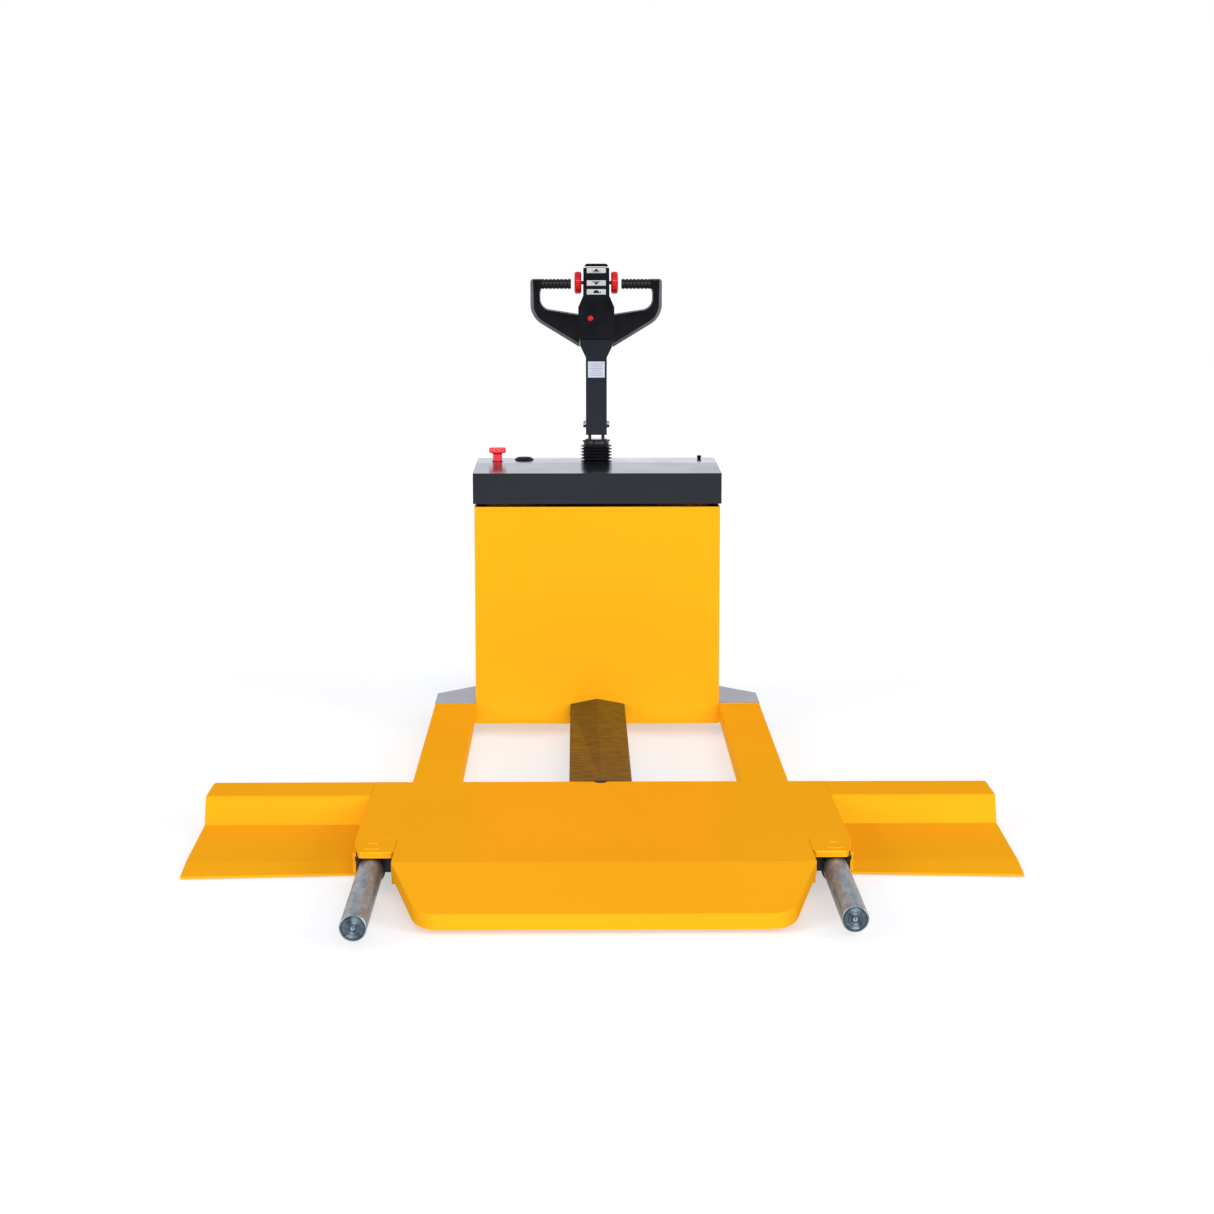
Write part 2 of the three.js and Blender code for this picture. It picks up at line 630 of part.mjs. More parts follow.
function pushRod(side) {
  const { x, pivotY, pivotZ } = ROLLER;
  const z = pivotZ + LUG.height;
  const bar = rod("y", PUSH_ROD.radius, pivotY + 20, PUSH_ROD.back, [side * x, z], 12);
  const blade = block(across(side, x - 4, x + 4), [pivotY - 15, pivotY + 30], [z - 8.5, z + 8.5]);
  return cut(join(bar, blade), rod("x", LUG.hole, ...across(side, x - 9, x + 9), [pivotY, z], 16));
}

// ---- Steering: drive wheel, yoke, stem, boot and clevis ----------------------------------------

function wheelYoke() {
  const legs = [-1, 1].map((side) =>
    block(
      across(side, YOKE.inner, YOKE.outer),
      [STEER_Y - YOKE.halfDepth, STEER_Y + YOKE.halfDepth],
      [YOKE.foot, YOKE.bottom + 1],
    ),
  );
  const crown = rod("z", YOKE.crown, YOKE.bottom, YOKE.top, [0, STEER_Y], 28);
  const axle = rod("x", DRIVE.axle, ...wide(YOKE.outer + 6), [STEER_Y, DRIVE.radius], 16);
  return join(crown, axle, ...legs);
}

function driveHub() {
  const bore = DRIVE.axle + 0.5;
  const { rim, hubHalfWidth } = DRIVE;
  const profile = [
    [bore, -hubHalfWidth],
    [rim - 24, -hubHalfWidth],
    [rim - 18, -hubHalfWidth + 6],
    [rim, -hubHalfWidth + 6],
    [rim, hubHalfWidth - 6],
    [rim - 18, hubHalfWidth - 6],
    [rim - 24, hubHalfWidth],
    [bore, hubHalfWidth],
    [bore, -hubHalfWidth],
  ];
  return turned("x", profile, 32);
}

function driveTyre() {
  const { radius, rim, halfWidth } = DRIVE;
  const bore = rim + GAP;
  const profile = [
    [bore, -halfWidth],
    [radius - 6, -halfWidth],
    [radius, -halfWidth + 7],
    [radius, halfWidth - 7],
    [radius - 6, halfWidth],
    [bore, halfWidth],
    [bore, -halfWidth],
  ];
  return turned("x", profile, 40);
}

function boot() {
  const foot = HOOD.top + GAP;
  const bellowsTop = BOOT.top - 12;
  const pitch = (bellowsTop - foot) / BOOT.pleats;
  const bore = STEM_RADIUS + 1;
  const profile = [[bore, foot]];
  for (let i = 0; i < BOOT.pleats; i += 1) {
    const z = foot + i * pitch;
    profile.push([BOOT.valley, z], [BOOT.radius, z + pitch / 2]);
  }
  profile.push([BOOT.valley, bellowsTop], [30, BOOT.top], [bore, BOOT.top], [bore, foot]);
  return turned("z", profile, 28);
}

function clevis() {
  const { inner, outer, radius, foot } = CLEVIS;
  const legs = [-1, 1].map((side) =>
    prism(
      "x",
      [
        [-radius, BOOT.top + GAP],
        [radius, BOOT.top + GAP],
        ...arc(0, TILLER.pivotZ, radius, 0, 180, 8),
      ],
      ...across(side, inner, outer),
    ),
  );
  const base = rod("z", foot, BOOT.top + GAP, BOOT.top + 3);
  return cut(join(base, ...legs), rod("x", BOLT.radius + GAP, ...wide(foot), [0, TILLER.pivotZ]));
}

function pivotBolt() {
  const shank = rod("x", BOLT.radius, ...wide(BOLT.shank), [0, TILLER.pivotZ]);
  const heads = [-1, 1].map((side) =>
    rod("x", BOLT.head, ...across(side, BOLT.shank - 0.5, BOLT.end), [0, TILLER.pivotZ], 6),
  );
  return join(shank, ...heads);
}

function steeringPieces(group) {
  const stem = rod("z", STEM_RADIUS, YOKE.top + GAP, BOOT.top, [0, STEER_Y], 28);
  piece(group, "steer_stem", stem, steel());
  piece(group, "wheel_yoke", wheelYoke(), blackPaint());
  piece(group, "steering_boot", boot(), rubber(), [0, STEER_Y, 0]);
  piece(group, "tiller_clevis", clevis(), blackPaint(), [0, STEER_Y, 0]);
  piece(group, "tiller_pivot_bolt", pivotBolt(), steel(), [0, STEER_Y, 0]);
}

// ---- Tiller: tube, control head, grips, throttle and buttons -----------------------------------

function tillerTube() {
  const { bottom, neck, flare, shoulder, width, depth, pivotZ } = TILLER;
  const inner = width / 2 - TILLER_WALL;
  const outline = mirrored([
    [width / 2, bottom],
    [width / 2, neck],
    [HEAD.block - 1, flare],
    [HEAD.block - 1, shoulder - GAP],
  ]);
  return cut(
    prism("y", outline, ...wide(depth / 2)),
    block(wide(inner), wide(depth / 2 - TILLER_WALL), [bottom - 1, neck - 10]),
    block(wide(inner), [10, depth], [bottom - 1, pivotZ + 24]),
    rod("x", BOLT.radius + 0.5, ...wide(width), [0, pivotZ]),
  );
}

// Half of the open handle: from the block out, up round the loop and back in, seen from the front.
function handleOutline() {
  const { gripZ, gripRadius } = HANDLE;
  const gripOuter = GRIP_SPAN.outer;
  const outer = HANDLE.outer - LOOP.outerRadius;
  const topZ = gripZ + 11.5;
  return [
    [HEAD.block - 3, TILLER.shoulder + 1],
    [HEAD.block, TILLER.shoulder],
    [HEAD.block + 1, HANDLE.rootZ],
    ...arc(outer, LOOP.outerZ, LOOP.outerRadius, -52, 0, 5),
    ...arc(HANDLE.outer - LOOP.cornerRadius, topZ - LOOP.cornerRadius, LOOP.cornerRadius, 0, 90, 3),
    [gripOuter, topZ],
    [gripOuter, gripZ - gripRadius],
    [LOOP.innerX + LOOP.innerRadius, LOOP.innerZ + 15],
    ...arc(LOOP.innerX, LOOP.innerZ, LOOP.innerRadius, 0, -75, 4),
    [HEAD.block - 3, HANDLE.webZ],
  ];
}

function controlHead() {
  const { block: blockHalf, tower, waist, towerFoot, top, halfDepth } = HEAD;
  const towerTop = top - BELLY.height - GAP;
  const half = [
    [blockHalf, TILLER.shoulder],
    [blockHalf, waist],
    [tower + 0.5, towerFoot],
    [tower, towerTop],
  ];
  const handles = [-1, 1].map((side) => {
    const outline = handleOutline().map(([x, z]) => [side * x, z]);
    const reach = across(side, GRIP_SPAN.inner + 4, GRIP_SPAN.outer + 2);
    const core = rod("x", GRIP.core, ...reach, [0, HANDLE.gripZ], 16);
    return join(prism("y", outline, ...wide(HANDLE.halfDepth)), core);
  });
  const pocketFloor = STRIP.depth - halfDepth + 1 + STRIP.gap;
  const stripPockets = Object.values(STRIP_Z).map((z) =>
    block(
      wide(STRIP.halfWidth + 0.5),
      [-halfDepth - 1, pocketFloor],
      [z - STRIP.height / 2 - 0.5, z + STRIP.height / 2 + 0.5],
    ),
  );
  return cut(
    join(prism("y", mirrored(half), ...wide(halfDepth)), ...handles),
    ...stripPockets,
    rod("y", HORN.radius + 0.5, -halfDepth - 1, pocketFloor + 0.5, [HORN.x, HORN.z], 16),
    rod("x", THROTTLE.shaft + 2 * GAP, ...wide(THROTTLE.inner), [THROTTLE_Y, THROTTLE.z], 16),
    block(wide(BELLY.stemX + 1), wide(BELLY.stemY + 1), [towerTop - 12, top]),
  );
}

// A push button that sticks out of the head's front face, with its face turned to -Y.
const buttonDepth = [-HEAD.halfDepth - STRIP.proud, -HEAD.halfDepth + STRIP.depth - STRIP.gap];

function bellyButton() {
  const bottom = HEAD.top - BELLY.height;
  const cap = mirrored([
    [HEAD.tower, bottom + BELLY.travel],
    ...arc(HEAD.tower - BELLY.corner, HEAD.top - BELLY.corner, BELLY.corner, 0, 90, 3),
  ]);
  const stem = block(wide(BELLY.stemX), wide(BELLY.stemY), [bottom - 6, bottom + BELLY.travel + 1]);
  return join(prism("y", cap, ...wide(HEAD.halfDepth - 1)), stem);
}

function grip(side) {
  const { inner, outer } = GRIP_SPAN;
  const length = outer - GAP - inner;
  const pitch = length / GRIP.ribs;
  const start = side > 0 ? inner : GAP - outer;
  const valley = HANDLE.gripRadius - GRIP.groove;
  const peak = HANDLE.gripRadius + GRIP.rise;
  const profile = [[GRIP.bore, start]];
  for (let i = 0; i < GRIP.ribs; i += 1) {
    const x = start + i * pitch;
    profile.push([valley, x + 0.01], [peak, x + pitch * 0.3], [peak, x + pitch * 0.7]);
  }
  profile.push([valley, start + length], [GRIP.bore, start + length], [GRIP.bore, start]);
  return turned("x", profile, 18);
}

function throttle() {
  const { inner, outer, radius, shaft, z } = THROTTLE;
  const wheels = [-1, 1].map((side) =>
    rod("x", radius, ...across(side, inner, outer), [THROTTLE_Y, z], 28),
  );
  return join(rod("x", shaft, ...wide(inner + 2), [THROTTLE_Y, z], 16), ...wheels);
}

function tillerPieces(group) {
  piece(group, "tiller_tube", tillerTube(), blackPaint());
  piece(group, "control_head", controlHead(), blackPlastic());
  for (const side of [-1, 1]) {
    piece(group, "grip_" + label(side), grip(side), rubber(), [0, 0, HANDLE.gripZ]);
  }
  piece(group, "throttle_butterfly", throttle(), redPlastic());
  for (const [name, z] of Object.entries(STRIP_Z)) {
    const span = [z - STRIP.height / 2, z + STRIP.height / 2];
    piece(group, name, block(wide(STRIP.halfWidth), buttonDepth, span), greyPlastic());
  }
  const horn = rod("y", HORN.radius, ...buttonDepth, [HORN.x, HORN.z], 16);
  piece(group, "horn_button", horn, redPlastic());
  piece(group, "belly_button", bellyButton(), blackPlastic());
}

// ---- Assembly ----------------------------------------------------------------------------------

const truck = new THREE.Group();
const [chassis, forkFrame, steering, tiller] = Array.from({ length: 4 }, () => new THREE.Group());
truck.add(chassis, forkFrame, steering);
steering.add(tiller);
tiller.position.y = STEER_Y;
truck.position.y = (PIN_REACH - REAR_EDGE) / 2;

chassisPieces(chassis);
piece(chassis, "estop_knob", estopKnob(), redPlastic(), [ESTOP.x, ESTOP.y, 0]);
piece(chassis, "key_knob", keyKnob(), blackPlastic(), [KEY.x, KEY.y, 0]);
forkFramePieces(forkFrame);
steeringPieces(steering);
piece(steering, "drive_hub", driveHub(), caseGrey(), [0, STEER_Y, DRIVE.radius]);
piece(steering, "drive_tyre", driveTyre(), rubber(), [0, STEER_Y, DRIVE.radius]);
tillerPieces(tiller);

for (const side of [-1, 1]) {
  const name = label(side);
  const corner = [side * CASTER.x, CASTER.y, 0];
  piece(chassis, "caster_fork_" + name, casterFork(), steel(), corner);
  const wheelPlace = [corner[0], CASTER.y + CASTER.trail, CASTER.radius];
  piece(chassis, "caster_wheel_" + name, casterWheel(), rubber(), wheelPlace);
  piece(forkFrame, "roller_bracket_" + name, rollerBracket(side), steel());
  const rollerPlace = [side * ROLLER.x, ROLLER.y, ROLLER.radius];
  piece(forkFrame, "load_roller_" + name, loadRoller(), rubber(), rollerPlace);
  piece(forkFrame, "push_rod_" + name, pushRod(side), steel());
  const pin = new THREE.Group();
  pin.rotation.x = -Math.PI / 2;
  pin.position.set(side * SOCKET.x, -PIN_REACH + (side > 0 ? PIN.rightStop : 0), SOCKET.z);
  piece(pin, "load_pin_" + name, pinBar(), steel());
  forkFrame.add(pin);
}

const root = new THREE.Group();
root.add(truck);

export default root;
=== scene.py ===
"""Finished looks of a low electric pallet truck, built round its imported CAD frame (metres, +Z up)."""

import json
import math
import random

import bmesh
import bpy
from mathutils import Matrix, Vector


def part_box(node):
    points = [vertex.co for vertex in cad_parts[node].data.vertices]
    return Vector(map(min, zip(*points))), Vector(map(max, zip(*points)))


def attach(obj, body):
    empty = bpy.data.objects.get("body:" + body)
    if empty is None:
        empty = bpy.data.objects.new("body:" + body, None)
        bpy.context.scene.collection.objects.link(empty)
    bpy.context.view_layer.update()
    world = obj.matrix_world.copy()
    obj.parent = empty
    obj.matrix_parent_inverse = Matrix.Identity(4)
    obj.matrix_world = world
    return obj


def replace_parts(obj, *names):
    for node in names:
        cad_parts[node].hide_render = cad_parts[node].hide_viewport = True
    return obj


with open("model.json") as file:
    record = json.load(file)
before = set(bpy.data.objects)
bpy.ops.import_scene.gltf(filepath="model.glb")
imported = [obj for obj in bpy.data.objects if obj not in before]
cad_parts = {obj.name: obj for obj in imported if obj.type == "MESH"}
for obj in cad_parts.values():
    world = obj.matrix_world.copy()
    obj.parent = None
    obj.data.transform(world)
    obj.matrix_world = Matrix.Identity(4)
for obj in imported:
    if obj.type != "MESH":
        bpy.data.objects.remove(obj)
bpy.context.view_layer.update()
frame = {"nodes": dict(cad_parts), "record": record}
random.seed(7)

SIDES = {"left": -1, "right": 1}
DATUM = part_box("battery_box")[0].y  # front face of the battery box
STEER_Y = (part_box("steering_boot")[0].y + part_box("steering_boot")[1].y) / 2

# ---- Sizes, in metres --------------------------------------------------------------------------

SAME_PLACE = 0.00002  # vertices nearer than this are one
NORMAL_WEIGHT = 80
SHEET_EASE = 0.0012  # rounding of the edges of thin sheet
PLATE_EASE = 0.0018  # and of thick plate
WELD_RIPPLE = 0.0045  # pitch of the ripples of a weld
WELD_SIDES = 10

TRAY_SHEET = 0.005
TRAY_BEND = 0.004
TRAY_CORNER = 0.009  # round at the outer end of the flange's back edge
TRAY_FLANGE = 0.125  # depth of the level flange
TRAY_FACE = 0.027  # run of the steep face
TRAY_LIP, TRAY_LIP_END, TRAY_FRONT = 1.267, 1.3195, 1.320  # ahead of the battery box
SPINE_END = 0.0015  # rise of the ridge over the platform at its front end
PIN_SHADED_RINGS = ((0.24, 0.30), (0.50, 0.55), (0.80, 0.87))  # painted shade of the turned rings on the pin's end, as shares of the pin's radius

HOOD_CREASE = 0.229  # behind the hood's front edge
HOOD_DROP = 0.004  # fall of the lid from the crease to the front edge
LOUVRE_ROWS, LOUVRE_FOOT, LOUVRE_PITCH = 5, 0.368, 0.026
LABEL_LOW, LABEL_HIGH, LABEL_HALF = 0.884, 0.925, 0.0215
HANDLE_RIM = 0.0075  # width of the chamfer on the front of the handles
STRIP_FRAME = 0.0012  # width of the frame round each push strip


# ---- Camera, light and floor -------------------------------------------------------------------

CAMERA_PLACE = (-0.049, -5.366, 1.297)
CAMERA_DOWN = 9.05  # degrees below the horizon
CAMERA_TURN = -0.69
CAMERA_LENS = 73.0
FLOOR_RADIUS = 16.0
FLOOR_TONE = 0.56
FLOOR_GLOW = 0.46

# Strength of the studio's walls in front, behind and overhead, and of the extra sheet low behind
# with its brighter foot.
WORLD_FRONT, WORLD_BACK, WORLD_TOP, WORLD_SHEET, WORLD_FOOT = 0.10, 0.66, 0.66, 0.40, 0.50
WORLD_TINT = (0.95, 0.975, 1.06)
RANGE_SOCKETS = ("From Min", "From Max", "To Min", "To Max")


def make_camera():
    data = bpy.data.cameras.new("camera")
    data.lens = CAMERA_LENS
    camera = bpy.data.objects.new("camera", data)
    camera.location = CAMERA_PLACE
    camera.rotation_euler = (math.radians(90 - CAMERA_DOWN), 0, math.radians(CAMERA_TURN))
    bpy.context.scene.collection.objects.link(camera)
    bpy.context.scene.camera = camera


def make_sun(name, strength, spread, tilt, turn):
    """A soft sheet of light. tilt is from overhead and turn is round Z from the front, in degrees."""
    data = bpy.data.lights.new(name, "SUN")
    data.energy = strength
    data.angle = math.radians(spread)
    lamp = bpy.data.objects.new(name, data)
    lamp.rotation_euler = (math.radians(tilt), 0, math.radians(turn))
    bpy.context.scene.collection.objects.link(lamp)


class World:
    """Short chains of maths on the direction a ray leaves in."""

    def __init__(self, name):
        self.data = bpy.data.worlds.new(name)
        self.data.use_nodes = True
        self.nodes, self.links = self.data.node_tree.nodes, self.data.node_tree.links
        self.nodes.clear()
        place = self.nodes.new("ShaderNodeTexCoord")
        split = self.nodes.new("ShaderNodeSeparateXYZ")
        self.links.new(place.outputs["Generated"], split.inputs[0])
        self.y, self.z = split.outputs["Y"], split.outputs["Z"]

    def ramp(self, value, low, high, to_low, to_high):
        node = self.nodes.new("ShaderNodeMapRange")
        node.interpolation_type = "SMOOTHSTEP"
        for socket, number in zip(RANGE_SOCKETS, (low, high, to_low, to_high)):
            node.inputs[socket].default_value = number
        self.links.new(value, node.inputs["Value"])
        return node.outputs[0]

    def maths(self, operation, first, second):
        node = self.nodes.new("ShaderNodeMath")
        node.operation = operation
        self.links.new(first, node.inputs[0])
        self.links.new(second, node.inputs[1])
        return node.outputs[0]


def make_world():
    """White to the eye. Light comes from behind and overhead, with one more sheet low behind."""
    world = World("studio")
    bpy.context.scene.world = world.data
    behind = world.ramp(world.y, -0.55, 0.25, WORLD_FRONT, WORLD_BACK)
    above = world.ramp(world.z, 0.25, 0.8, 0.0, WORLD_TOP)
    foot = world.ramp(world.z, 0.09, 0.15, WORLD_FOOT, 0.0)
    low = world.maths("ADD", world.ramp(world.z, 0.25, 0.42, WORLD_SHEET, 0.0), foot)
    sheet = world.maths("MULTIPLY", world.ramp(world.y, 0.3, 0.8, 0.0, 1.0), low)
    light = world.maths("ADD", world.maths("MAXIMUM", behind, above), sheet)
    path = world.nodes.new("ShaderNodeLightPath")
    dimmed = world.nodes.new("ShaderNodeMix")
    dimmed.data_type = "FLOAT"
    world.links.new(path.outputs["Is Camera Ray"], dimmed.inputs[0])
    world.links.new(light, dimmed.inputs[2])
    dimmed.inputs[3].default_value = 1.0
    tint = world.nodes.new("ShaderNodeMix")
    tint.data_type = "RGBA"
    world.links.new(path.outputs["Is Camera Ray"], tint.inputs[0])
    tint.inputs[6].default_value = (*WORLD_TINT, 1)
    tint.inputs[7].default_value = (1, 1, 1, 1)
    back = world.nodes.new("ShaderNodeBackground")
    world.links.new(tint.outputs[2], back.inputs["Color"])
    world.links.new(dimmed.outputs[0], back.inputs["Strength"])
    out = world.nodes.new("ShaderNodeOutputWorld")
    world.links.new(back.outputs[0], out.inputs["Surface"])


def make_floor():
    mesh = bpy.data.meshes.new("floor")
    bm = bmesh.new()
    bmesh.ops.create_circle(bm, cap_ends=True, radius=FLOOR_RADIUS, segments=96)
    bm.to_mesh(mesh)
    bm.free()
    floor = bpy.data.objects.new("floor", mesh)
    floor.location.z = -0.0005
    bpy.context.scene.collection.objects.link(floor)
    material = bpy.data.materials.new("floor")
    material.use_nodes = True
    shader = material.node_tree.nodes["Principled BSDF"]
    shader.inputs["Base Color"].default_value = (FLOOR_TONE, FLOOR_TONE, FLOOR_TONE, 1)
    shader.inputs["Roughness"].default_value = 0.9
    shader.inputs["Specular IOR Level"].default_value = 0.1
    shader.inputs["Emission Color"].default_value = (1, 1, 1, 1)
    shader.inputs["Emission Strength"].default_value = FLOOR_GLOW
    mesh.materials.append(material)


# ---- Materials ---------------------------------------------------------------------------------


class Surface:
    """A Principled material with short chains of procedural nodes on its sockets."""

    def __init__(self, name, roughness, metallic=0.0, specular=0.5, coat=0.0, coat_roughness=0.1):
        self.material = bpy.data.materials.new(name)
        self.material.use_nodes = True
        self.nodes = self.material.node_tree.nodes
        self.links = self.material.node_tree.links
        self.shader = self.nodes["Principled BSDF"]
        self.shader.inputs["Roughness"].default_value = roughness
        self.shader.inputs["Metallic"].default_value = metallic
        self.shader.inputs["Specular IOR Level"].default_value = specular
        self.shader.inputs["Coat Weight"].default_value = coat
        self.shader.inputs["Coat Roughness"].default_value = coat_roughness
        self.place = self.nodes.new("ShaderNodeTexCoord").outputs["Object"]

    def stretched(self, stretch):
        mapping = self.nodes.new("ShaderNodeMapping")
        mapping.inputs["Scale"].default_value = stretch
        self.links.new(self.place, mapping.inputs["Vector"])
        return mapping.outputs[0]

    def noise(self, scale, detail=3.0, stretch=(1, 1, 1), distortion=0.0):
        place = self.stretched(stretch)
        node = self.nodes.new("ShaderNodeTexNoise")
        node.inputs["Scale"].default_value = scale
        node.inputs["Detail"].default_value = detail
        node.inputs["Distortion"].default_value = distortion
        self.links.new(place, node.inputs["Vector"])
        return node.outputs["Fac"]

    def cells(self, scale, stretch=(1, 1, 1)):
        place = self.stretched(stretch)
        node = self.nodes.new("ShaderNodeTexVoronoi")
        node.inputs["Scale"].default_value = scale
        self.links.new(place, node.inputs["Vector"])
        return node.outputs["Color"]

    def span(self, value, low, high, to_low=0.0, to_high=1.0):
        node = self.nodes.new("ShaderNodeMapRange")
        for socket, number in zip(RANGE_SOCKETS, (low, high, to_low, to_high)):
            node.inputs[socket].default_value = number
        self.links.new(value, node.inputs["Value"])
        return node.outputs[0]

    def mix(self, factor, first, second):
        node = self.nodes.new("ShaderNodeMix")
        node.data_type = "RGBA"
        self.links.new(factor, node.inputs["Factor"])
        for socket, value in ((node.inputs[6], first), (node.inputs[7], second)):
            if isinstance(value, tuple):
                socket.default_value = (*value, 1)
            else:
                self.links.new(value, socket)
        return node.outputs[2]

    def bump(self, value, strength, distance, under=None):
        node = self.nodes.new("ShaderNodeBump")
        node.inputs["Strength"].default_value = strength
        node.inputs["Distance"].default_value = distance
        self.links.new(value, node.inputs["Height"])
        if under is not None:
            self.links.new(under, node.inputs["Normal"])
        return node.outputs[0]

    def colour(self, value):
        self.links.new(value, self.shader.inputs["Base Color"])

    def rough(self, noise, low, high):
        self.links.new(self.span(noise, 0.3, 0.7, low, high), self.shader.inputs["Roughness"])

    def normal(self, value):
        self.links.new(value, self.shader.inputs["Normal"])


def painted(name, clean, deep, dusty, roughness, specular, peel, metallic=0.0, edge=None):
    """Powder coat: slight drift in colour, orange peel, and faint rub marks."""
    paint = Surface(name, roughness, metallic, specular)
    if edge is not None:
        paint.shader.inputs["Specular Tint"].default_value = (*edge, 1)
    drift = paint.span(paint.noise(2.2, 2), 0.35, 0.65)
    body = paint.mix(drift, clean, deep)
    rubs = paint.span(paint.noise(9, 8, (1, 5, 5), 0.6), 0.66, 0.85, 0.0, 0.25)
    paint.colour(paint.mix(rubs, body, dusty))
    paint.rough(paint.noise(7, 4), roughness - 0.03, roughness + 0.04)
    waves = paint.bump(paint.noise(24, 1), 0.05, 0.0002)
    paint.normal(paint.bump(paint.noise(620, 2), peel, 0.00006, waves))
    return paint.material


def yellow_paint():
    clean, deep, dusty = (0.81, 0.355, 0.010), (0.79, 0.345, 0.009), (0.81, 0.39, 0.024)
    return painted("yellow_paint", clean, deep, dusty, 0.16, 0.0, 0.12, 0.11, (1.0, 0.48, 0.05))


def black_paint():
    clean, deep, dusty = (0.004, 0.0055, 0.009), (0.006, 0.0075, 0.011), (0.016, 0.018, 0.024)
    return painted("black_paint", clean, deep, dusty, 0.15, 0.36, 0.12, 0.0, (0.86, 0.94, 1.0))


def spine_paint():
    """Black paint over a rougher sheet, marked by cross rubs."""
    paint = Surface("spine_paint", 0.4, specular=0.3)
    rubs = paint.span(paint.noise(14, 7, (1, 9, 1), 0.5), 0.45, 0.75)
    paint.colour(paint.mix(rubs, (0.007, 0.006, 0.006), (0.016, 0.012, 0.010)))
    paint.rough(paint.noise(30, 5, (1, 4, 1)), 0.32, 0.5)
    waves = paint.bump(paint.noise(18, 3, (1, 4, 1)), 0.15, 0.0004)
    paint.normal(paint.bump(paint.noise(500, 2), 0.2, 0.0001, waves))
    return paint.material


def grey_paint():
    clean, deep, dusty = (0.125, 0.135, 0.19), (0.115, 0.125, 0.175), (0.17, 0.17, 0.21)
    return painted("grey_paint", clean, deep, dusty, 0.22, 0.5, 0.12)


def zinc_steel():
    metal = Surface("zinc_steel", 0.42, metallic=0.55)
    spangle = metal.span(metal.cells(240, (1, 0.35, 1)), 0.2, 0.8)
    cloud = metal.span(metal.noise(60, 6, (1, 0.25, 1)), 0.35, 0.65)
    tone = metal.mix(spangle, (0.20, 0.235, 0.26), (0.33, 0.365, 0.39))
    metal.colour(metal.mix(cloud, tone, (0.14, 0.165, 0.185)))
    metal.rough(metal.noise(130, 4), 0.3, 0.52)
    metal.normal(metal.bump(metal.noise(420, 3, (1, 0.2, 1)), 0.25, 0.0003))
    return metal.material


def machined_steel():
    metal = Surface("machined_steel", 0.28, metallic=1.0)
    streaks = metal.span(metal.noise(900, 2, (0.05, 1, 1)), 0.3, 0.7)
    metal.colour(metal.mix(streaks, (0.42, 0.43, 0.44), (0.56, 0.56, 0.56)))
    metal.rough(metal.noise(70, 4), 0.2, 0.38)
    metal.normal(metal.bump(metal.noise(900, 2, (0.05, 1, 1)), 0.1, 0.0002))
    return metal.material


def moulded(name, tone, worn, roughness, specular=0.5, grain=0.25):
    """Moulded plastic with a fine spark-eroded grain and slightly rubbed patches."""
    plastic = Surface(name, roughness, specular=specular)
    patches = plastic.span(plastic.noise(22, 5), 0.45, 0.75)
    plastic.colour(plastic.mix(patches, tone, worn))
    plastic.rough(plastic.noise(35, 4), roughness - 0.04, roughness + 0.04)
    plastic.normal(plastic.bump(plastic.noise(1500, 2), grain, 0.00015))
    return plastic.material


def black_plastic():
    return moulded("black_plastic", (0.003, 0.0033, 0.0048), (0.005, 0.0055, 0.0075), 0.16, 0.2, 0.08)


def handle_rim_highlight():
    """A paler copy of the black plastic: a painted highlight on the handles' chamfered rim."""
    return moulded("handle_rim_highlight", (0.075, 0.08, 0.095), (0.11, 0.115, 0.135), 0.35, 0.4, 0.15)


def red_plastic():
    return moulded("red_plastic", (0.50, 0.008, 0.011), (0.46, 0.006, 0.009), 0.2, 0.2, 0.08)


# A brighter copy of the red plastic for the stop knob: painted light, where the knob is more lit than the
# throttle wheels.
def red_plastic_lit():
    return moulded("red_plastic_lit", (0.92, 0.035, 0.05), (0.86, 0.026, 0.036), 0.24, 0.4, 0.08)


def grey_plastic():
    return moulded("grey_plastic", (0.40, 0.42, 0.43), (0.33, 0.35, 0.36), 0.45, 0.4, 0.2)


def battery_case():
    return moulded("battery_case", (0.055, 0.058, 0.065), (0.08, 0.08, 0.085), 0.55, 0.5, 0.4)


def cast_grey():
    metal = Surface("cast_grey", 0.55, metallic=0.35)
    sand = metal.noise(420, 5)
    metal.colour(metal.mix(metal.span(sand, 0.35, 0.65), (0.10, 0.105, 0.115), (0.17, 0.17, 0.18)))
    metal.rough(metal.noise(60, 4), 0.45, 0.65)
    metal.normal(metal.bump(sand, 0.45, 0.0004))
    return metal.material


def rubbery(name, tone, dust, roughness, scale):
    """Rubber: matt, slightly mottled, with a pale bloom in patches."""
    rubber = Surface(name, roughness, specular=0.25)
    bloom = rubber.span(rubber.noise(26, 6), 0.5, 0.8, 0.0, 0.7)
    rubber.colour(rubber.mix(bloom, tone, dust))
    rubber.rough(rubber.noise(80, 3), roughness - 0.08, roughness + 0.1)
    rubber.normal(rubber.bump(rubber.noise(scale, 3), 0.3, 0.0003))
    return rubber.material


def boot_rubber():
    return rubbery("boot_rubber", (0.008, 0.008, 0.010), (0.016, 0.017, 0.02), 0.4, 500)


def grip_rubber():
    return rubbery("grip_rubber", (0.0035, 0.004, 0.0055), (0.007, 0.0075, 0.010), 0.34, 900)


def tyre_rubber():
    return rubbery("tyre_rubber", (0.012, 0.012, 0.012), (0.05, 0.048, 0.044), 0.7, 300)


def roller_urethane():
    return rubbery("roller_urethane", (0.035, 0.03, 0.026), (0.09, 0.08, 0.07), 0.45, 260)


def turned(name, roughness, dark, light, roughest):
    """Turned steel at the end of a load pin."""
    metal = Surface(name, roughness, metallic=0.85)
    cloud = metal.span(metal.noise(180, 5), 0.35, 0.65)
    metal.colour(metal.mix(cloud, dark, light))
    metal.rough(metal.noise(90, 3), 0.22, roughest)
    metal.normal(metal.bump(metal.noise(900, 2), 0.2, 0.0002))
    return metal.material


def pin_face():
    return turned("pin_face", 0.32, (0.055, 0.08, 0.10), (0.10, 0.135, 0.165), 0.42)


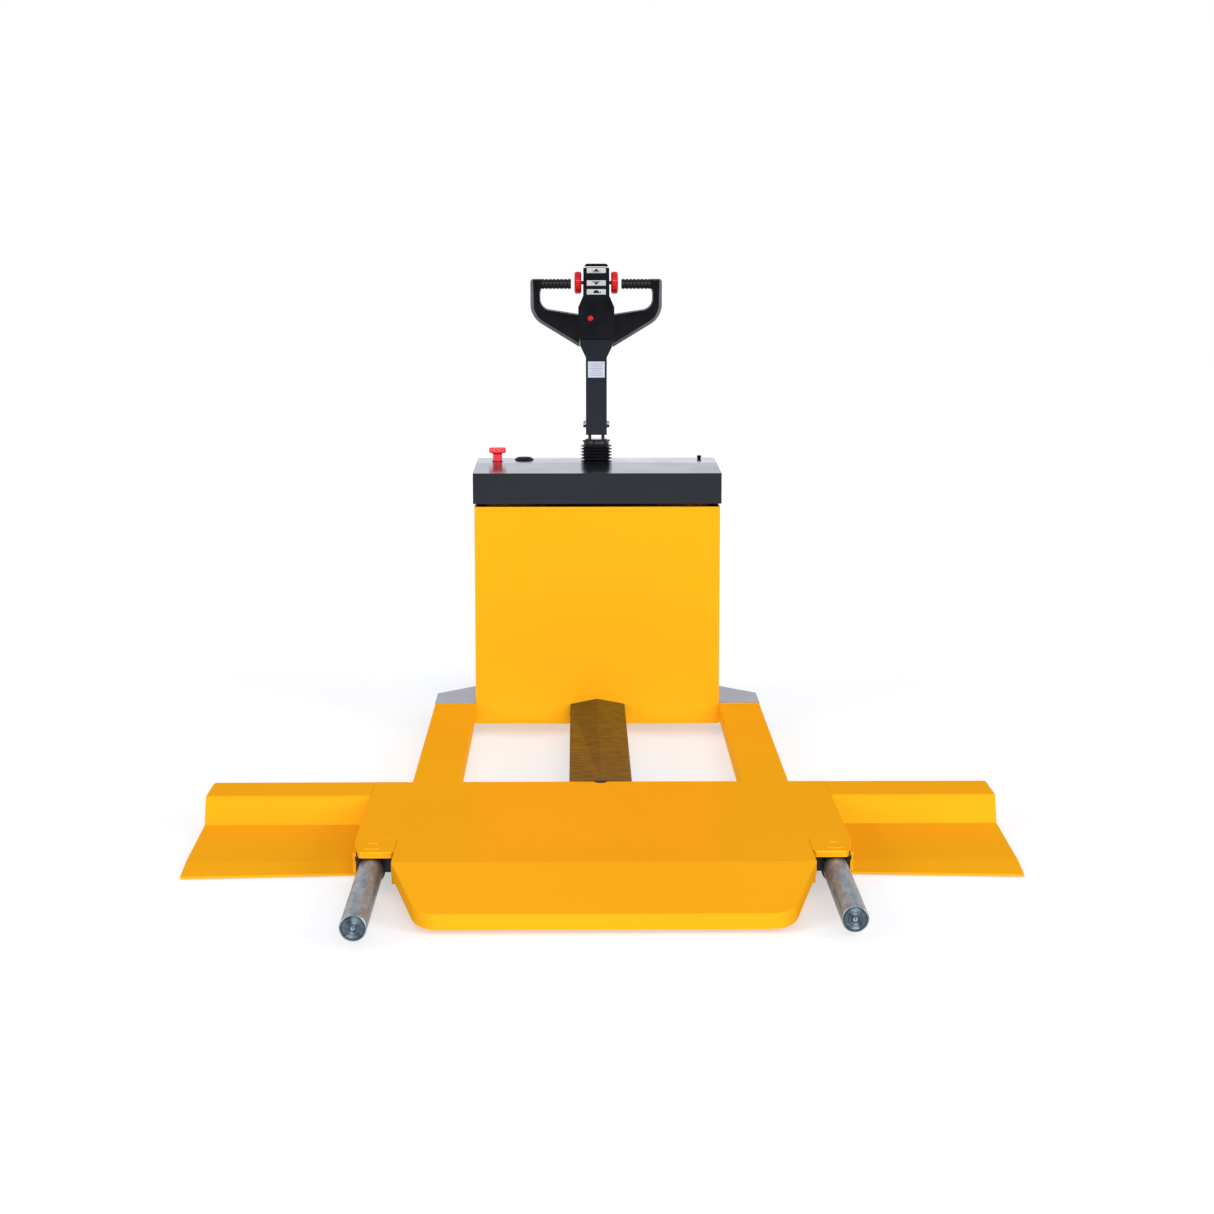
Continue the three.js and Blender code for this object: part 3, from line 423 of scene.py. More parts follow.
def pin_ring_shade():
    """A darker copy of the end face's steel: painted shade of the turned rings."""
    return turned("pin_ring_shade", 0.3, (0.028, 0.04, 0.05), (0.05, 0.068, 0.082), 0.4)


def label():
    """A blank printed label, slightly blue."""
    return moulded("label", (0.44, 0.47, 0.58), (0.40, 0.43, 0.54), 0.4, 0.4, 0.05)


def label_rule():
    return moulded("label_rule", (0.22, 0.25, 0.34), (0.19, 0.22, 0.31), 0.5, 0.3, 0.05)


MAKERS = (
    yellow_paint, black_paint, grey_paint, zinc_steel, machined_steel, black_plastic, red_plastic,
    grey_plastic, battery_case, cast_grey, boot_rubber, grip_rubber, tyre_rubber, roller_urethane,
    pin_face, pin_ring_shade, label, label_rule, spine_paint, handle_rim_highlight, red_plastic_lit,
)
MATERIALS = {make.__name__: make() for make in MAKERS}


# ---- Mesh tools --------------------------------------------------------------------------------

def body_of(node):
    bodies = frame["record"]["behaviour"]["bodies"]
    return next(body for body, members in bodies.items() if node in members)


def slot_of(node):
    """The record's material slot of a CAD node."""
    return next(part["material_slot"] for part in frame["record"]["subparts"] if part["node"] == node)


def finished(name, bm, body, slot, sharp=38, look=None):
    """Turns a bmesh into a smooth-shaded piece on a body. look is its material where not the slot's."""
    bmesh.ops.recalc_face_normals(bm, faces=bm.faces)
    for face in bm.faces:
        face.smooth = True
    for edge in bm.edges:
        edge.smooth = len(edge.link_faces) == 2 and edge.calc_face_angle(0) < math.radians(sharp)
    mesh = bpy.data.meshes.new(name)
    bm.to_mesh(mesh)
    bm.free()
    mesh.materials.append(MATERIALS[look or slot])
    piece = bpy.data.objects.new(name, mesh)
    bpy.context.scene.collection.objects.link(piece)
    weigh = piece.modifiers.new("weigh normals", "WEIGHTED_NORMAL")
    weigh.keep_sharp = True
    weigh.weight = NORMAL_WEIGHT
    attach(piece, body)
    return piece


def eased(bm, width, angle=25, segments=2):
    """Rounds every edge whose faces turn by more than angle degrees."""
    bmesh.ops.remove_doubles(bm, verts=bm.verts, dist=SAME_PLACE)
    bmesh.ops.dissolve_limit(bm, angle_limit=math.radians(0.5), verts=bm.verts, edges=bm.edges)
    edges = [e for e in bm.edges if len(e.link_faces) == 2 and e.calc_face_angle(0) > math.radians(angle)]
    bmesh.ops.bevel(
        bm, geom=edges, offset=width, offset_type="OFFSET", segments=segments, profile=0.5,
        affect="EDGES", clamp_overlap=True,
    )


def refined(node, width, angle=25, segments=2, slot=None):
    """A CAD node with its edges eased, standing for that node."""
    bm = bmesh.new()
    bm.from_mesh(frame["nodes"][node].data)
    eased(bm, width, angle, segments)
    piece = finished(node + "_body", bm, body_of(node), slot or slot_of(node))
    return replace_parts(piece, node)


def spun(point, axis, centre):
    """A point of a body of revolution, given as (along the axis, u, v)."""
    along, u, v = point
    place = {"x": (along, u, v), "y": (v, along, u), "z": (u, v, along)}[axis]
    return Vector(centre) + Vector(place)


def add_lathe(bm, profile, axis, centre, steps=72):
    """Adds a body of revolution from (radius, along) points that close on the axis or on themselves."""
    rings = []
    for radius, along in profile:
        count = 1 if radius < 1e-7 else steps
        turns = [math.tau * i / steps for i in range(count)]
        points = [(along, radius * math.cos(t), radius * math.sin(t)) for t in turns]
        rings.append([bm.verts.new(spun(p, axis, centre)) for p in points])
    pairs = list(zip(rings, rings[1:]))
    if len(rings[0]) > 1 or len(rings[-1]) > 1:
        pairs.append((rings[-1], rings[0]))
    for low, high in pairs:
        for i in range(steps):
            j = (i + 1) % steps
            corners = [low[i % len(low)], low[j % len(low)], high[j % len(high)], high[i % len(high)]]
            unique = list(dict.fromkeys(corners))
            if len(unique) > 2:
                bm.faces.new(unique)


def lathed(name, profile, axis, centre, body, slot, steps=72, look=None):
    bm = bmesh.new()
    add_lathe(bm, profile, axis, centre, steps)
    return finished(name, bm, body, slot, look=look)


def add_skin(bm, rings):
    """Joins rings of as many vertices each, and closes the first and the last."""
    for ring, ahead in zip(rings, rings[1:]):
        for i in range(len(ring)):
            j = (i + 1) % len(ring)
            bm.faces.new((ring[i], ring[j], ahead[j], ahead[i]))
    for ring in (rings[0], rings[-1]):
        bm.faces.new(ring)


def add_prism(bm, axis, outline, start, end):
    """Adds an outline of [y, z], [x, z] or [x, y] points swept along x, y or z."""
    place = {
        "x": lambda a, b, along: (along, a, b),
        "y": lambda a, b, along: (a, along, b),
        "z": lambda a, b, along: (a, b, along),
    }[axis]
    ends = [[bm.verts.new(place(a, b, along)) for a, b in outline] for along in (start, end)]
    made = [bm.faces.new(ends[0]), bm.faces.new(ends[1])]
    for i in range(len(outline)):
        j = (i + 1) % len(outline)
        made.append(bm.faces.new((ends[0][i], ends[0][j], ends[1][j], ends[1][i])))
    return made


def rectangle(a, b, a_end, b_end):
    return [(a, b), (a_end, b), (a_end, b_end), (a, b_end)]


def add_box(bm, low, high):
    return add_prism(bm, "z", rectangle(low[0], low[1], high[0], high[1]), low[2], high[2])


def both_sides(line):
    """A wheel's profile: one side's (radius, along) points, then the same mirrored."""
    return line + [(radius, -along) for radius, along in reversed(line)]


def arc(a, b, radius, start, end, steps):
    """Points round a centre, in degrees."""
    turns = [math.radians(start + (end - start) * i / steps) for i in range(steps + 1)]
    return [(a + radius * math.cos(t), b + radius * math.sin(t)) for t in turns]


def filleted(points, radius, steps=5):
    """Rounds the corners of an open line of 2D points."""
    out = [Vector(points[0])]
    for before, corner, after in zip(points, points[1:], points[2:]):
        corner = Vector(corner)
        back, ahead = Vector(before) - corner, Vector(after) - corner
        half = back.angle(ahead) / 2
        if half > math.radians(89):
            out.append(corner)
            continue
        reach = min(radius / math.tan(half), back.length * 0.48, ahead.length * 0.48)
        start, end = corner + back.normalized() * reach, corner + ahead.normalized() * reach
        for i in range(steps + 1):
            t = i / steps
            out.append(start * (1 - t) ** 2 + corner * 2 * t * (1 - t) + end * t**2)
    out.append(Vector(points[-1]))
    return [tuple(p) for p in out]


def weld_bead(name, points, radius, body, slot="yellow_paint"):
    """A rippled bead of weld along a line of points, painted over."""
    line = [Vector(p) for p in points]
    steps = []
    for start, end in zip(line, line[1:]):
        count = max(2, int((end - start).length / (WELD_RIPPLE / 3)))
        steps += [start.lerp(end, i / count) for i in range(count)]
    steps.append(line[-1])
    bm = bmesh.new()
    rings = []
    for i, point in enumerate(steps):
        ahead = steps[min(i + 1, len(steps) - 1)] - steps[max(i - 1, 0)]
        side = ahead.cross(Vector((0.3, 0.2, 1))).normalized()
        lift = side.cross(ahead).normalized()
        ends = min(1.0, 0.35 + 0.3 * min(i, len(steps) - 1 - i))
        size = radius * ends * (1 + 0.13 * math.sin(i * math.tau / 3) + random.uniform(-0.06, 0.06))
        turns = [math.tau * k / WELD_SIDES for k in range(WELD_SIDES)]
        rings.append([bm.verts.new(point + (side * math.cos(t) + lift * math.sin(t)) * size) for t in turns])
    add_skin(bm, rings)
    return finished(name, bm, body, slot, sharp=80)


def middle(node):
    low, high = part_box(node)
    return (low + high) / 2


def wheel_size(node):
    """Radius and half width of a wheel that turns round X."""
    low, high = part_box(node)
    return (high.z - low.z) / 2, (high.x - low.x) / 2


# ---- Fork frame --------------------------------------------------------------------------------

def make_tray(side, sign):
    """One bent plate: flange, steep face, shelf and a bevelled lip, with a small radius at each bend."""
    node = "tray_" + side
    low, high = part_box(node)
    flange_end = high.y - TRAY_FLANGE
    face_foot = flange_end - TRAY_FACE
    lip_start = DATUM - TRAY_LIP
    line = [
        (high.y, high.z - TRAY_SHEET / 2),
        (flange_end, high.z - TRAY_SHEET / 2),
        (face_foot, low.z + 0.0245),
        (lip_start, low.z + 0.013),
        (DATUM - TRAY_LIP_END, low.z + TRAY_SHEET / 2),
    ]
    profile = filleted(line, TRAY_BEND)
    inner, outer = sorted((low.x, high.x), key=abs)
    flare = (low.y - (DATUM - TRAY_FRONT)) / abs(outer - inner)
    shares = [i / 20 for i in range(20)]
    shares += [1 - TRAY_CORNER / abs(outer - inner) * k / 6 for k in range(6, -1, -1)]
    bm = bmesh.new()
    grid = []
    for share in sorted(shares):
        x = inner + (outer - inner) * share
        into_corner = max(0.0, TRAY_CORNER - abs(outer - x))
        back_limit = high.y - TRAY_CORNER + math.sqrt(TRAY_CORNER**2 - into_corner**2)
        row = []
        for y, z in profile:
            out = max(0.0, (lip_start - y) / (lip_start - profile[-1][0]))
            row.append(bm.verts.new((x, min(y, back_limit) + flare * abs(x - inner) * out, z)))
        grid.append(row)
    for a, b in zip(grid, grid[1:]):
        for k in range(len(profile) - 1):
            bm.faces.new((a[k], a[k + 1], b[k + 1], b[k]))
    bmesh.ops.recalc_face_normals(bm, faces=bm.faces)
    piece = finished(node + "_sheet", bm, "fork_frame", "yellow_paint", sharp=50)
    thick = piece.modifiers.new("thickness", "SOLIDIFY")
    thick.thickness = TRAY_SHEET
    thick.offset = 0
    ease = piece.modifiers.new("eased edges", "BEVEL")
    ease.width = 0.0009
    ease.segments = 2
    ease.angle_limit = math.radians(50)
    weigh = piece.modifiers.new("weigh again", "WEIGHTED_NORMAL")
    weigh.weight = NORMAL_WEIGHT
    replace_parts(piece, node)
    weld = [(inner + sign * 0.0015, high.y - 0.004, high.z - 0.006)]
    weld += [(inner + sign * 0.0015, y, z + 0.001) for y, z in profile[6:-2:3]]
    weld_bead(node + "_weld", weld, 0.0024, "fork_frame")


def make_fork_frame():
    refined("battery_box", SHEET_EASE)
    refined("deck_plate", PLATE_EASE, angle=10, segments=3)
    make_spine()
    for side, sign in SIDES.items():
        refined("arm_" + side, PLATE_EASE, segments=3)
        refined("rail_" + side, SHEET_EASE)
        make_tray(side, sign)
        make_socket(side, sign)
        make_pin(side)
        make_battery(side)
        make_heel_weld(side)
    make_lift_rod()


def make_lift_rod():
    low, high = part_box("lift_rod")
    centre = middle("lift_rod")
    radius, half = (high.x - low.x) / 2, (high.z - low.z) / 2
    profile = [(0, -half), (radius - 0.001, -half), (radius, 0.001 - half), (radius, half - 0.001)]
    profile += [(radius - 0.001, half), (0, half)]
    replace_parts(lathed("lift_rod_body", profile, "z", centre, "fork_frame", "machined_steel"), "lift_rod")


def make_spine():
    """The ridged cover, whose ridge sinks towards the platform, where a plate closes it."""
    low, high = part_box("spine_cover")
    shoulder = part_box("deck_plate")[1].z
    sink = shoulder + SPINE_END - high.z
    bm = bmesh.new()
    bm.from_mesh(frame["nodes"]["spine_cover"].data)
    for vert in bm.verts:
        ridge = max(0.0, 1 - abs(vert.co.x) / high.x)
        share = (high.y - vert.co.y) / (high.y - low.y)
        vert.co.z += sink * ridge * share
    eased(bm, 0.0022, angle=5, segments=3)
    spine = finished("spine_sheet", bm, "fork_frame", "black_paint", look="spine_paint")
    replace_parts(spine, "spine_cover")
    plate = bmesh.new()
    half = high.x - 0.003
    outline = [(-half, low.z + 0.002), (half, low.z + 0.002), (half, shoulder - 0.002)]
    outline += [(0, shoulder + SPINE_END - 0.002), (-half, shoulder - 0.002)]
    add_prism(plate, "y", outline, low.y + 0.0005, low.y + 0.004)
    finished("spine_end_plate", plate, "fork_frame", "black_paint", look="spine_paint")


def make_battery(side):
    """A block battery with two posts."""
    node = "battery_" + side
    refined(node, 0.004, segments=3)
    low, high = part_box(node)
    for i, across in enumerate((0.2, 0.8)):
        x = low.x + (high.x - low.x) * across
        y = (low.y + high.y) / 2
        post = [(0, 0), (0.009, 0), (0.0085, 0.014), (0.0075, 0.015), (0, 0.015)]
        name = f"{node}_post_{i + 1}"
        lathed(name, post, "z", (x, y, high.z - 0.0005), "fork_frame", "machined_steel", 32)


def make_heel_weld(side):
    """The bead where the arm meets its heel plate."""
    low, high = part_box("arm_" + side)
    inset, top = 0.003, high.z - 0.001
    points = [(low.x + inset, high.y, top), (high.x - inset, high.y, top)]
    weld_bead(f"arm_{side}_heel_weld", points, 0.0022, "fork_frame")


def make_socket(side, sign):
    """A plate tab over a tube that holds the pin, two black blocks beside it, and weld beads. The tube and
    the blocks are black as painted shade in the socket's mouth.
    """
    node = "pin_socket_" + side
    low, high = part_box(node)
    pin = middle("load_pin_" + side)
    x, front, back = abs(pin.x), low.y, DATUM - 1.3533
    under = high.z - 0.012
    outer, inner = max(abs(low.x), abs(high.x)), min(abs(low.x), abs(high.x))
    plan = [(outer, back), (x + 0.021, front + 0.004), (x + 0.017, front)]
    plan += [(x - 0.040, front), (inner, front + 0.012), (inner, back)]
    bm = bmesh.new()
    add_prism(bm, "z", [(sign * a, b) for a, b in plan], under, high.z)
    eased(bm, 0.002, segments=3)
    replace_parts(finished(node + "_tab", bm, "fork_frame", "yellow_paint"), node)
    bore, wall = 0.0258, under - pin.z - 0.0001
    start, end = DATUM - 1.440, high.y
    tube = [(bore, start), (wall, start), (wall, end), (bore, end)]
    # Painted shade: the tube and the two blocks below are black paint standing in for the shade inside the
    # socket's mouth.
    lathed(node + "_tube", tube, "y", (pin.x, 0, pin.z), "fork_frame", "black_paint", 64)
    dark = bmesh.new()
    for a, b, foot in ((x - 0.024, inner, 0.042), (x + 0.024, outer - 0.007, 0.064)):
        span = sorted((sign * a, sign * b))
        add_box(dark, (span[0], start - 0.002, foot), (span[1], start + 0.012, under - 0.0002))
    finished(node + "_shade_blocks", dark, "fork_frame", "black_paint")
    skirt = bmesh.new()
    span = sorted((sign * (outer - 0.006), sign * outer))
    add_box(skirt, (span[0], back - 0.060, 0.034), (span[1], back - 0.0003, under - 0.0002))
    finished(node + "_cheek", skirt, "fork_frame", "yellow_paint")
    for name, y, half, rise in (("slot", -1.392, 0.010, 0.003), ("edge", -1.428, 0.017, -0.006)):
        steps = [k / 6 - 1 for k in range(13)]
        points = [(pin.x + half * u, DATUM + y + rise * (1 - u * u), high.z + 0.0002) for u in steps]
        weld_bead(f"{node}_{name}_weld", points, 0.0021, "fork_frame")
    side_points = [(sign * outer, back, high.z - 0.002)]
    side_points.append((sign * (x + 0.022), front + 0.006, high.z - 0.003))
    weld_bead(node + "_side_weld", side_points, 0.0018, "fork_frame")
    foot_points = [(sign * (outer - 0.001), back - 0.001, z) for z in (0.083, 0.06, 0.037)]
    weld_bead(node + "_foot_weld", foot_points, 0.0022, "fork_frame")


def make_pin(side):
    """A sawn and turned bar with a chamfer and a centre-drilled end."""
    node = "load_pin_" + side
    low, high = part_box(node)
    radius = (high.x - low.x) / 2
    centre = ((low.x + high.x) / 2, low.y, (low.z + high.z) / 2)
    length = high.y - low.y
    chamfer, drill = 0.0025, 0.0042
    face = [(0, 0.007), (drill * 0.35, 0.0055), (drill * 0.4, 0.0025), (drill, 0.0003)]
    rings = [drill + 0.0012 + 0.0013 * k for k in range(13)]
    face += [(r, 0.00045 if k % 2 else 0.0) for k, r in enumerate(rings) if r < radius - chamfer - 0.0005]
    profile = face + [(radius - chamfer, 0.0002), (radius, chamfer), (radius, length - 0.001)]
    profile += [(radius - 0.001, length), (0, length)]
    pin = lathed(node + "_bar", profile, "y", centre, node, "zinc_steel", 96)
    pin.data.materials.append(MATERIALS["pin_face"])
    pin.data.materials.append(MATERIALS["pin_ring_shade"])
    # Painted shade: rings of the end face take a darker copy of its material in place of the shade of the
    # turned rings.
    for polygon in pin.data.polygons:
        if polygon.center.y < low.y + chamfer * 0.4:
            out = math.hypot(polygon.center.x - centre[0], polygon.center.z - centre[2])
            polygon.material_index = 2 if any(a < out / radius < b for a, b in PIN_SHADED_RINGS) else 1
    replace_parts(pin, node)


# ---- Chassis -----------------------------------------------------------------------------------

def make_hood():
    """The folded hood, whose lid falls slightly ahead of a crease."""
    low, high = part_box("hood")
    crease = low.y + HOOD_CREASE
    bm = bmesh.new()
    bm.from_mesh(frame["nodes"]["hood"].data)
    bmesh.ops.remove_doubles(bm, verts=bm.verts, dist=SAME_PLACE)
    everything = list(bm.verts) + list(bm.edges) + list(bm.faces)
    bmesh.ops.bisect_plane(bm, geom=everything, plane_co=(0, crease, 0), plane_no=(0, 1, 0))
    for vert in bm.verts:
        if vert.co.z > high.z - 0.006 and vert.co.y < crease:
            vert.co.z -= HOOD_DROP * (crease - vert.co.y) / HOOD_CREASE
    eased(bm, 0.0022, segments=3)
    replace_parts(finished("hood_lid", bm, "chassis", "black_paint", sharp=0.8), "hood")


def make_rear_cover():
    """The rear cover, with a pressed hood over each louvre and screws at its edges."""
    refined("rear_cover", SHEET_EASE)
    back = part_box("rear_cover")[1].y
    rise, stretch = 0.0035, 0.011 / 0.0035
    for side, sign in SIDES.items():
        bm = bmesh.new()
        for row in range(LOUVRE_ROWS):
            z = LOUVRE_FOOT + LOUVRE_PITCH * row
            outline = [(back - 0.0005, 0), *arc(back, 0, rise, 0, 80, 5), (back - 0.0005, 0.011)]
            outline = [(y, z + h * stretch) for y, h in outline]
            span = sorted((sign * 0.117, sign * 0.233))
            add_prism(bm, "x", outline, *span)
        finished("louvre_hoods_" + side, bm, "chassis", "black_paint", sharp=60)
    heads = [(x, z) for x in (-0.285, 0.285) for z in (0.125, 0.35, 0.56)]
    for i, (x, z) in enumerate(heads):
        profile = [(0, 0.0012), (0.002, 0.0022), (0.0048, 0.0024), (0.0062, 0.0008), (0.0062, -0.0008)]
        profile += [(0, -0.0008)]
        lathed(f"cover_screw_{i + 1}", profile, "y", (x, back, z), "chassis", "machined_steel", 24)


def make_stop_knob():
    """The mushroom stop button, with pale dots round its rim as painted glints and a thin black ring at its
    foot as painted shadow.
    """
    low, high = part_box("estop_knob")
    centre = middle("estop_knob")
    cap = (high.x - low.x) / 2
    stem = cap - 0.0105
    top, foot = high.z, high.z - 0.0145
    line = [(stem, low.z), (stem, foot), (cap, foot), (cap, top - 0.0005), (0.004, top)]
    profile = [(0, low.z), *filleted(line, 0.0045, 6), (0, top)]
    place = (centre.x, centre.y, 0)
    # Painted light: the knob shows a brighter copy of its red plastic.
    knob = lathed("estop_mushroom", profile, "z", place, "estop_knob", "red_plastic", look="red_plastic_lit")
    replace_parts(knob, "estop_knob")
    # Painted glints: small pale domes round the side of the cap's rim, where its edge catches the light.
    bm = bmesh.new()
    for i in range(12):
        turn = math.tau * i / 12 + 0.2
        out = Vector((math.cos(turn), math.sin(turn), 0))
        place = Vector((centre.x, centre.y, (top + foot) / 2)) + out * (cap - 0.0014)
        turned = out.to_track_quat("Z", "Y").to_matrix().to_4x4()
        placed = Matrix.Translation(place) @ turned
        bmesh.ops.create_uvsphere(bm, u_segments=16, v_segments=8, radius=0.0021, matrix=placed)
    finished("estop_glints", bm, "estop_knob", "grey_plastic")
    # Painted shadow: a thin black ring at the stem's foot, where the stem meets the hood.
    hood_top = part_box("hood")[1].z
    ring = [(stem + 0.0008, 0), (stem + 0.003, 0), (stem + 0.0026, 0.0012), (stem + 0.0008, 0.0015)]
    lathed("estop_foot_shadow", ring, "z", (centre.x, centre.y, hood_top), "chassis", "black_plastic", 48)


def make_gauge():
    """The round battery gauge: bezel, dark face, scale marks and a pointer."""
    low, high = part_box("battery_gauge")
    centre = middle("battery_gauge")
    radius, height = (high.x - low.x) / 2, high.z - low.z
    bezel = [(0, 0), (radius, 0), (radius, height * 0.2), (radius - 0.005, height * 0.9)]
    bezel += [(radius - 0.006, height), (radius - 0.0068, height), (radius - 0.0078, height - 0.0018)]
    bezel.append((0, height - 0.0018))
    base = (centre.x, centre.y, low.z)
    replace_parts(lathed("gauge_bezel", bezel, "z", base, "chassis", "black_plastic"), "battery_gauge")
    bm = bmesh.new()
    face = low.z + height - 0.0018
    for i in range(9):
        turn = math.radians(215 - 250 * i / 8)
        long = 0.0035 if i % 4 == 0 else 0.002
        out = Vector((math.cos(turn), math.sin(turn), 0))
        wide = Vector((-math.sin(turn), math.cos(turn), 0))
        start = Vector((centre.x, centre.y, face)) + out * (radius - 0.0085 - long)
        corners = [start + wide * w + out * r for w, r in rectangle(-0.0004, 0, 0.0004, long)]
        add_prism(bm, "z", [(c.x, c.y) for c in corners], face - 0.0003, face + 0.0004)
    finished("gauge_scale", bm, "chassis", "grey_plastic")
    needle = bmesh.new()
    outline = [(centre.x - 0.0006, centre.y - 0.003), (centre.x + 0.0006, centre.y - 0.003)]
    outline += [(centre.x + 0.0002, centre.y + 0.014), (centre.x - 0.0002, centre.y + 0.014)]
    add_prism(needle, "z", outline, face + 0.0002, face + 0.0009)
    finished("gauge_needle", needle, "chassis", "red_plastic")


def make_key_knob():
    low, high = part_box("key_knob")
    centre = middle("key_knob")
    hood_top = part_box("hood")[1].z
    radius = (high.x - low.x) / 2
    line = [(0.003, low.z), (0.003, hood_top + 0.0005), (radius * 0.75, hood_top + 0.0006)]
    line += [(radius, high.z - 0.002), (radius * 0.8, high.z), (0.001, high.z)]
    profile = [(0, low.z), *filleted(line, 0.0008, 3), (0, high.z)]
    knob = lathed("key_knob_turned", profile, "z", (centre.x, centre.y, 0), "key_knob", "black_plastic", 48)
    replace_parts(knob, "key_knob")
    bm = bmesh.new()
    wide, long = 0.0009, radius * 0.7
    mark_low = (centre.x - wide, centre.y - long, high.z - 0.0008)
    add_box(bm, mark_low, (centre.x + wide, centre.y + long, high.z))
    finished("key_knob_mark", bm, "key_knob", "grey_plastic")


def make_chassis():
    make_hood()
    make_rear_cover()
    refined("base_plate", 0.0015, slot="grey_paint")
    for node in ("upright_left", "upright_right", "turret_plate", "wheel_fender", "pump_motor"):
        refined(node, 0.0015)
    for node in ("hydraulic_tank", "motor_controller", "estop_switch", "key_switch"):
        refined(node, 0.003, segments=3)
    for node in ("steer_bearing", "lift_cylinder"):
        refined(node, 0.0008)
    make_stop_knob()
    make_gauge()
    make_key_knob()


# ---- Steering and drive wheel ------------------------------------------------------------------


def make_boot():
    """Rubber bellows with sharp pleats under a clamped collar."""
    low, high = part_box("steering_boot")
    outer = (high.x - low.x) / 2
    valley, bore, pleats = outer - 0.010, 0.025, 5
    collar = high.z - 0.012
    pitch = (collar - low.z) / pleats
    profile = [(bore, low.z)]
    for i in range(pleats):
        z = low.z + i * pitch
        profile += [(valley, z + 0.0002), (outer - 0.0018, z + pitch * 0.40), (outer, z + pitch * 0.47)]
        profile += [(outer, z + pitch * 0.55), (outer - 0.0018, z + pitch * 0.62)]
    profile += [(valley, collar), (valley + 0.002, collar + 0.001), (valley + 0.002, high.z - 0.004)]
    profile += [(0.030, high.z), (bore, high.z)]
    centre = (0, STEER_Y, 0)
    boot = lathed("boot_bellows", profile, "z", centre, "steering", "boot_rubber", 96)
    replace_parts(boot, "steering_boot")
    for i in range(6):
        turn = math.radians(60 * i + 15)
        place = (0.0325 * math.cos(turn), STEER_Y + 0.0325 * math.sin(turn), high.z - 0.0045)
        head = [(0, 0), (0.0042, 0), (0.0042, 0.003), (0.003, 0.0042), (0, 0.0042)]
        lathed(f"collar_bolt_{i + 1}", head, "z", place, "steering", "black_paint", 6)


def make_wheel_parts():
    """Drive wheel: moulded tyre, cast hub with bolts, and the yoke round it."""
    radius, half = wheel_size("drive_tyre")
    centre = middle("drive_tyre")
    bore = 0.0683
    line = [(bore, -half), (radius - 0.008, -half), (radius, -half + 0.009), (radius, half - 0.009)]
    line += [(radius - 0.008, half), (bore, half)]
    tyre = lathed("drive_tyre_moulded", filleted(line, 0.006), "x", centre, "drive_wheel", "tyre_rubber", 120)
    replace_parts(tyre, "drive_tyre")
    refined("drive_hub", 0.0012)
    bm = bmesh.new()
    for sign in (-1, 1):
        for i in range(6):
            turn = math.tau * i / 6
            place = (sign * 0.0318, centre.y + 0.055 * math.cos(turn), centre.z + 0.055 * math.sin(turn))
            head = [(0, -0.004), (0.0065, -0.004), (0.0065, 0.004), (0, 0.004)]
            add_lathe(bm, head, "x", place, 6)
    finished("hub_bolts", bm, "drive_wheel", "machined_steel")
    refined("wheel_yoke", 0.002, segments=3)
    refined("steer_stem", 0.001)


def make_tiller_joint():
    refined("tiller_clevis", 0.0012)
    refined("tiller_pivot_bolt", 0.0009)
    centre = middle("tiller_pivot_bolt")
    for side, sign in SIDES.items():
        washer = [(0.0063, 0), (0.0115, 0), (0.0115, sign * 0.0006), (0.0063, sign * 0.0006)]
        place = (sign * 0.0268, centre.y, centre.z)
        lathed("pivot_washer_" + side, washer, "x", place, "steering", "machined_steel", 40)


# ---- Tiller ------------------------------------------------------------------------------------

def make_tube():
    """The square tiller tube with rolled corners, flared into the head, and its blank label."""
    refined("tiller_tube", 0.0055, segments=5)
    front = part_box("tiller_tube")[0].y
    bm = bmesh.new()
    add_box(bm, (-LABEL_HALF, front - 0.0003, LABEL_LOW), (LABEL_HALF, front + 0.0002, LABEL_HIGH))
    finished("tube_label", bm, "tiller", "grey_plastic", look="label")
    rules = bmesh.new()
    widths = (0.8, 0.62, 0.75, 0.5, 0.72, 0.66)
    for i, width in enumerate(widths):
        z = LABEL_HIGH - 0.006 - i * 0.0058
        half = LABEL_HALF * width
        add_box(rules, (-half, front - 0.0005, z - 0.0008), (half, front - 0.0002, z + 0.0008))
    finished("tube_label_rules", rules, "tiller", "grey_plastic", look="label_rule")


def handle_outline(head_high, grip, inset):
    """Half of an open handle seen from the front, as [x, z] points on the +X side."""
    outer = head_high.x
    grip_z = (grip[0].z + grip[1].z) / 2
    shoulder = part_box("tiller_tube")[1].z
    block, root, bend = 0.043, 0.962, 0.058
    loop = arc(outer - bend, 1.070, bend - inset, -56, 0, 10)
    corner = []
    for turn in (0, 18, 36, 54, 72, 90):
        reach = 0.007 - min(inset, 0.006) * math.cos(math.radians(turn))
        corner += arc(outer - 0.007, grip_z + 0.0045, reach, turn, turn, 1)[:1]
    web = arc(0.115, 1.085, 0.030, 0, -75, 8)
    return [
        (block - 0.004, shoulder + 0.004 + inset),
        (block + 0.0005, shoulder + inset),
        (block + 0.001, root + inset * 1.17),
        *loop,
        *corner,
        (0.142, grip_z + 0.0115),
        (0.142, grip_z - 0.0124),
        (0.145, 1.100),
        *web,
        (block - 0.004, 1.043),
    ]


